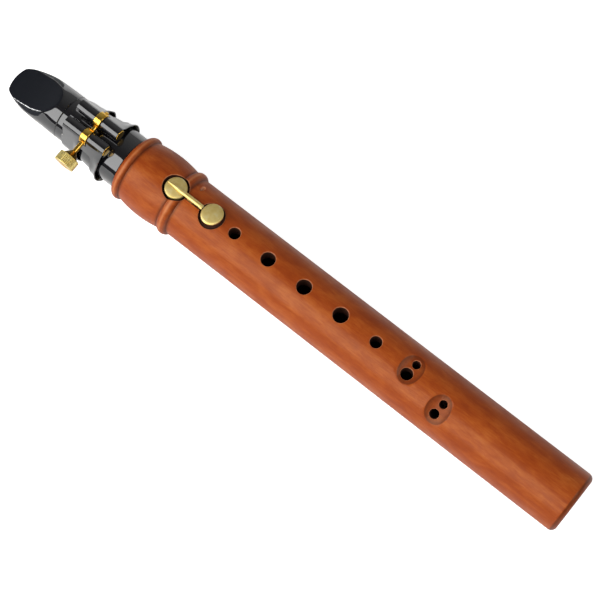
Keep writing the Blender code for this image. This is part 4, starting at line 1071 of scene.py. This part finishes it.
for side in (-1, 1):
    half_slot = collar_length / 2 + seat_gap
    slot_radius = collar_radius + seat_gap
    slot = lathe([(0, half_slot), (slot_radius, half_slot), (slot_radius, -half_slot), (0, -half_slot)], 97)
    collar_place = mouthpiece_laid @ shift(side * tube_side, -tube_height, screw_station)
    cutters.append(cutter(slot, lacquer, collar_place))
waist_rear, waist_corner = 13.1, 1.6
low, high = waist_corner - shank_radius * 0.5, tube_height - tube_radius * 1.6 - waist_corner
front, rear = lobe_edge - waist_corner, waist_rear + waist_corner
waist = []
for quarter, corner in enumerate(((front, high), (rear, high), (rear, low), (front, low))):
    waist += arc(corner, waist_corner, 90 * quarter, 90 * quarter + 90, 8)
cutters.append(side_cutter(waist, 90, lacquer))
past_front, far_out = band_front + 1, 30
front_trim = [(tube_front, tube_height - 2 * tube_radius), (past_front, barrel_radius * 0.7)]
front_trim += [(past_front, far_out), (tube_front, far_out)]
# The trim leaves the tubes' mouths with the painted edge highlight.
cutters.append(side_cutter(front_trim, 90, painted_edge_highlight))
cut_away(rolled_sheet, cutters, 40.0)
worn_edge = rolled_sheet.modifiers.new("worn_edge", "BEVEL")
worn_edge.width = 0.07 * mm
worn_edge.segments = 2
worn_edge.limit_method = "ANGLE"
worn_edge.angle_limit = radians(60)
rolled_sheet.modifiers.move(1, 0)
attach(rolled_sheet, "ligature")
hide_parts("ligature_band")
print("rolled sheet: %d faces" % len(rolled_sheet.data.polygons))

# %% [markdown]
# ## Turned brass
#
# The two rods in the tubes and the thumb screw are turned from brass rod and clear lacquered. The tool
# leaves fine rings round the work, which stretch the highlights a little, and the brass is a warm yellow
# that goes deep brown wherever it mirrors something dark. The knurls of the screw's head are duller and
# paler, because nobody polishes between them.

# %% Lacquered brass
deep_tones = ((0.70, 0.38, 0.045), (0.86, 0.53, 0.09), (0.93, 0.64, 0.17))
pale_tones = ((0.74, 0.56, 0.17), (0.83, 0.68, 0.26), (0.90, 0.78, 0.36))


def turned_brass(name, rings, dull, tones=deep_tones):
    """Brass with tool rings where the scale says, polished or left a little dull."""
    brass = Finish(name, Metallic=1.0)
    tool_rings = brass.noise(brass.in_mm(rings), 1.0, 3.0, 0.6)
    tarnish = brass.noise(brass.in_mm(), 0.35, 4.0, 0.6, 0.5)
    brass.paint(tarnish, *zip((0.3, 0.5, 0.75), tones))
    brass.sheen(tool_rings, dull, dull + 0.1)
    brass.bump(tool_rings, 0.006, 0.6)
    return brass


brass = turned_brass("turned_brass", (0.4, 0.4, 9.0), 0.14)
screw_brass = turned_brass("turned_brass_screw", (9.0, 0.4, 0.4), 0.17)
knurled_brass = turned_brass("knurled_brass", (1.0, 1.0, 1.0), 0.36, pale_tones)
print("turned brass")

# %% Turn the two rods with their collars
stands_out, end_round, fillet, collar_round = 0.2, 0.35, 0.1, 0.3
post_front, post_rear = tube_front + stands_out - screw_station, tube_rear - stands_out - screw_station
half_collar = collar_length / 2
upper_half = [(0, post_front)] + arc((post_radius - end_round, post_front - end_round), end_round, 90, 0, 5)
upper_half += [(post_radius, half_collar + fillet)]
upper_half += arc((post_radius + fillet, half_collar + fillet), fillet, 180, 270, 3)
upper_half += arc((collar_radius - collar_round, half_collar - collar_round), collar_round, 90, 0, 5)
lower_half = arc((collar_radius - collar_round, collar_round - half_collar), collar_round, 0, -90, 5)
lower_half += arc((post_radius + fillet, -half_collar - fillet), fillet, 90, 180, 3)
lower_half += arc((post_radius - end_round, post_rear + end_round), end_round, 0, -90, 5) + [(0, post_rear)]
screw_hole = 1.3
rods = ((-1, "clear_rod", "ligature_post_clear"), (1, "threaded_rod", "ligature_post_threaded"))
for side, name, node in rods:
    post_place = mouthpiece_laid @ shift(side * tube_side, -tube_height, screw_station)
    post = upright_object(name, lathe(upper_half + lower_half, 64), None, (brass,), post_place)
    hole = lathe([(0, 8), (screw_hole, 8), (screw_hole, -8), (0, -8)], 33)
    cut_away(post, [cutter(hole, brass, post_place @ crosswise)])
    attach(post, "ligature")
    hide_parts(node)
print("two brass rods, %.1f mm long" % (post_front - post_rear))

# %% [markdown]
# ## The thumb screw
#
# Its head has straight knurls for a grip, rolled in before the ends are rounded off. The lathe helper asks
# for a radius at every angle and height, so knurls and thread are both written as a small ripple: one that
# runs straight along the head, and one that climbs as it goes round.

# %% Knurl the head and cut the thread
collar_reach = tube_side + collar_radius
screw_radius, head_radius = 1.1, 4.8
knurls, knurl_depth = 34, 0.28
pitch, thread_depth, thread_start = 0.6, 0.16, 2.0
neck_end = collar_reach + 5.2
cone_end = neck_end + 2.5
head_end = cone_end + 4.6
screw_tip = collar_reach + 0.9


def knurl_and_thread(radius, height, angle):
    """Presses knurls into the head's rim and a thread into the screw's end."""
    if -head_end + 0.35 < height < -cone_end - 0.2 and radius > head_radius - 0.3:
        return radius - knurl_depth * (0.5 + 0.5 * cos(knurls * angle)) ** 1.5
    if height > thread_start and radius > screw_radius - 0.2:
        return radius - thread_depth * abs(2 * ((height / pitch - angle / (2 * pi)) % 1.0) - 1)
    return radius


screw_profile = [(0, screw_tip), (screw_radius - 0.5, screw_tip)]
screw_profile += [(screw_radius, screw_tip - 0.5 - pitch / 8 * step) for step in range(90)]
screw_profile += [(screw_radius, -2.0), (screw_radius, -collar_reach)]
screw_profile += arc((screw_radius + 0.5, -neck_end + 0.55), 0.5, 180, 245, 5)
screw_profile += [(3.7, -cone_end + 0.05)] + arc((4.45, -cone_end - 0.35), 0.35, 90, 0, 5)
screw_profile += [(head_radius, -cone_end - 0.35 - step * 0.48) for step in range(1, 8)]
screw_profile += arc((4.35, -head_end + 0.45), 0.45, 0, -90, 6) + [(2.7, -head_end)]
screw_profile += [(2.3, -head_end + 0.18), (0.6, -head_end + 0.25), (0, -head_end + 0.25)]
turned_screw = lathe(screw_profile, 8 * knurls, shape=knurl_and_thread)
for face in turned_screw.faces:
    middle = face.calc_center_median() / mm
    on_rim = hypot(middle.x, middle.y) > head_radius - 0.5
    face.material_index = 1 if on_rim and -head_end < middle.z < -cone_end else 0
screw_place = at_shoulder @ shift(0, -tube_height, screw_station) @ crosswise
bmesh.ops.transform(turned_screw, matrix=screw_place, verts=turned_screw.verts)
thumb_screw = upright_object("thumb_screw", turned_screw, "screw", (screw_brass, knurled_brass), laid, 50.0)
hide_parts("ligature_screw")
print("thumb screw with %d knurls" % knurls)

# %% [markdown]
# ## The key
#
# The key is cast and filed up from pale brass, then brushed and polished, so its flat parts carry fine
# scratches along the pipe while the rounded edges shine. The discs are crowned and have a bright bevelled
# rim. The arm is half round on top: it runs out in a point on the pad cup and in a wedge at the touch.

# %% Brushed pale brass
pale_brass = Finish("pale_brass", Metallic=1.0)
brushing = pale_brass.noise(pale_brass.in_mm((1.2, 1.2, 0.12)), 4.0, 3.0, 0.65)
cloud = pale_brass.noise(pale_brass.in_mm(), 0.3, 3.0, 0.55, 0.4)
pale_brass.paint(cloud, (0.3, (0.84, 0.63, 0.20)), (0.55, (0.92, 0.74, 0.30)), (0.8, (0.95, 0.84, 0.46)))
pale_brass.sheen(brushing, 0.48, 0.58)
pale_brass.bump(brushing, 0.008, 0.7)
print("pale brass")

# %% Shape the arm
arm_low = touch_station + touch_radius + seam
arm_high = key_station + cup_radius * 0.86
arm_taper, wedge_length = 7.0, 1.5
arm_steps, round_turns = 32, 12
shoulder = -arm_underside - 0.2
arm_sections = [[(0, shoulder, arm_low)]]
for step in range(arm_steps + 1):
    height = arm_low + (arm_high - arm_low) * step / arm_steps
    to_point = within((arm_high - height) / arm_taper)
    to_wedge = min(1.0, 0.55 + 0.45 * (height - arm_low) / wedge_length)
    half = arm_width / 2 * (0.24 + 0.76 * to_point)
    top = arm_thickness * (0.35 + 0.65 * min(1.0, to_point * 1.6)) * to_wedge
    section = [(half, -arm_underside, height), (half, shoulder, height)]
    for turn in range(1, round_turns):
        angle = pi * turn / round_turns
        section.append((half * cos(angle), shoulder - (top - 0.2) * sin(angle) ** 0.8, height))
    section += [(-half, shoulder, height), (-half, -arm_underside, height)]
    arm_sections.append(section)
arm_sections.append([(0, shoulder, arm_high)])
half_round_arm = loft("half_round_arm", arm_sections, "key", (pale_brass,), laid, smooth_angle=50.0)
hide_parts("key_arm")
print("arm %.1f mm long" % (arm_high - arm_low))

# %% Turn the touch and the pad cup
touch_rise, touch_tilt = 2.55, 9


def crown(radius, drop):
    """A disc's gently domed top, up to its bevelled rim."""
    return [(radius * share, -drop * share * share) for share in (0, 0.2, 0.4, 0.6, 0.8, 0.95)]


touch_profile = crown(4.35, 0.22) + [(4.5, -0.30)] + arc((touch_radius - 0.4, -0.76), 0.4, 62, 0, 6)
touch_profile += arc((touch_radius - 0.3, -1.0), 0.3, 0, -90, 4) + [(0, -1.3)]
touch_place = laid @ shift(0, -body_radius - touch_rise, touch_station)
touch_place = touch_place @ Matrix.Rotation(radians(90 - touch_tilt), 4, "X")
touch = upright_object("touch", lathe(touch_profile, 96), "key", (pale_brass,), touch_place, 50.0)
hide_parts("key_touch")
cup_inside, cup_roof = cup_radius - cup_wall, -0.9
cup_profile = crown(4.3, 0.25) + [(4.45, -0.32)] + arc((cup_radius - 0.35, -0.7), 0.35, 70, 0, 6)
cup_profile += [(cup_radius, -cup_height + 0.1), (cup_radius - 0.1, -cup_height), (cup_inside, -cup_height)]
cup_profile += [(cup_inside, cup_roof), (0, cup_roof)]
cup_place = laid @ shift(0, -cup_top, key_station) @ Matrix.Rotation(radians(90), 4, "X")
pad_cup = upright_object("pad_cup", lathe(cup_profile, 96), "key", (pale_brass,), cup_place, 50.0)
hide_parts("key_pad_cup")
print("touch and pad cup, %.1f mm across" % (2 * cup_radius))

# %% [markdown]
# ## The reed
#
# A blade of cane, flat on the side that lies on the table. Its back keeps the round, shiny bark up to the
# vamp, where the maker shaves it down to a thin tip and bares the fibres. So the blade has two finishes:
# bark and cut cane, both with fibres along the blade.

# %% Cane, cut and with its bark
vessel_stops = ((0.3, (0.50, 0.33, 0.12)), (0.5, (0.72, 0.54, 0.26)), (0.75, (0.86, 0.72, 0.42)))
cut_cane = plain_finish("cut_cane", (1, 1, 0.03), (3.2, 4.0, 0.6), vessel_stops, bump=(0.03, 0.6),
                        Roughness=0.55)
blotch_stops = ((0.35, (0.62, 0.44, 0.16)), (0.6, (0.78, 0.62, 0.28)), (0.75, (0.55, 0.34, 0.12)))
bark = plain_finish("cane_bark", (1, 1, 0.25), (0.7, 4.0, 0.6, 0.8), blotch_stops, (0.28, 0.42), IOR=1.5)
print("cane with and without its bark")

# %% Shave the reed
reed_top = reed_heel + reed_length
vamp_length, vamp_curve, vamp_crown = 33.5, 1.35, 0.18
vamp_start = reed_top - vamp_length
shoulder_depth, reed_tip_thickness = 0.4, 0.3
vamp_rise = reed_thickness - shoulder_depth - reed_tip_thickness
across_steps = 24


def reed_section(height):
    """Across the flat side first, then back over the bark or the vamp."""
    half = reed_half(height)
    if height - reed_top + tip_round > 0:
        half = rounded_half(half, height, reed_top)
    vamp = reed_tip_thickness + vamp_rise * within((reed_top - height) / vamp_length) ** vamp_curve
    shaved = within((height - vamp_start) / 0.8 + 0.5)
    flat_side, round_side = [], []
    for step in range(across_steps + 1):
        share = -1 + 2 * step / across_steps
        across = half * share
        full = bark_centre + sqrt(bark_radius ** 2 - across ** 2) - reed_flat
        thin = min(full, vamp * (1 - vamp_crown * share * share))
        depth = full + (thin - full) * shaved
        flat_side.append((across, reed_flat, height))
        round_side.append((across, reed_flat + depth, height))
    return flat_side + round_side[::-1]


reed_heights = [reed_heel, reed_heel + 0.4] + [reed_heel + 0.4 + 3.2 * step for step in range(1, 10)]
reed_heights = [h for h in reed_heights if h < vamp_start - 1]
reed_heights += [vamp_start + 0.1 * step for step in range(-5, 6)]
reed_heights += [vamp_start + 0.5 + (reed_top - 3.2 - vamp_start) * step / 24 for step in range(1, 25)]
reed_heights += tip_heights(reed_top, (30, 26, 22, 18, 14, 10, 6, 3, 1))
reed_sections = [[(0, reed_flat + 1.2, reed_heel)]] + [reed_section(h) for h in reed_heights]
reed_sections.append([(0, reed_flat + 0.15, reed_top)])
cane_reed = loft("cane_reed", reed_sections, "blade", (bark, cut_cane), mouthpiece_laid,
                 lambda middle: middle.z > vamp_start or middle.y < reed_flat + 0.1)
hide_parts("reed")
print("reed of %d sections" % len(reed_sections))

# %% [markdown]
# ## Cork, and the small hidden pieces
#
# A ring of sanded cork makes the joint tight. It, the pad, the lug, the pin, the spring and its rivet hardly
# show, but each gets its real finish: speckled cork, thin skin over felt, filed brass, browned steel and
# blued spring steel.

# %% Sanded cork ring
cork = Finish("cork", Roughness=0.85)
cells = cork.add("ShaderNodeTexVoronoi", {"Vector": cork.in_mm(), "Scale": 1.6}).outputs["Distance"]
lenticels = cork.noise(cork.in_mm((1, 1, 0.5)), 0.9, 5.0, 0.7, 0.6)
cork_colour = cork.ramp(cells, [(0.0, (0.50, 0.32, 0.17)), (0.6, (0.66, 0.46, 0.27))])
in_lenticels = cork.spread(lenticels, 0.58, 0.66, 0.0, 0.75)
cork.set("Base Color", cork.mix(in_lenticels, cork_colour, (0.20, 0.10, 0.045)))
cork.bump(cells, 0.05, 0.5)
cork_round = 0.25
cork_low, cork_high, cork_inside = cork_bottom + seat_gap, cork_top - seat_gap, cork_seat + seat_gap
cork_profile = arc((tenon_radius, cork_high - cork_round), cork_round, 90, 0, 5)
cork_profile += arc((tenon_radius, cork_low + cork_round), cork_round, 0, -90, 5)
cork_profile += [(cork_inside, cork_low), (cork_inside, cork_high)]
turned_cork = lathe(cork_profile, 96, closed=True)
cork_ring = upright_object("cork_ring", turned_cork, "mouth_part", (cork,), mouthpiece_laid)
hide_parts("tenon_cork")
print("cork ring %.1f mm long" % (cork_high - cork_low))

# %% Finish the pieces that stay as they are
skin_stops = ((0.3, (0.72, 0.62, 0.44)), (0.7, (0.88, 0.82, 0.68)))
pad_skin = plain_finish("pad_skin", (1, 1, 1), (1.5, 5.0, 0.6, 1.0), skin_stops, bump=(0.03, 0.4),
                        Roughness=0.7)
blue_stops = ((0.35, (0.06, 0.09, 0.22)), (0.65, (0.20, 0.20, 0.30)))
blue_steel = plain_finish("blued_steel", (1, 1, 1), (0.25, 3.0, 0.5), blue_stops, (0.25, 0.4), Metallic=1.0)
dull_stops = ((0.3, (0.34, 0.13, 0.07)), (0.7, (0.50, 0.24, 0.14)))
pin_steel = plain_finish("pin_steel", (1, 1, 1), (2.0, 4.0, 0.6), dull_stops, (0.35, 0.55), Metallic=1.0)
kept = {"key_pad": pad_skin, "key_lug": pale_brass, "key_pivot_pin": pin_steel, "key_spring": blue_steel,
        "spring_rivet": pale_brass}
for name, finish in kept.items():
    materials = frame["nodes"][name].data.materials
    materials.clear()
    materials.append(finish.material)
print("kept:", ", ".join(kept))
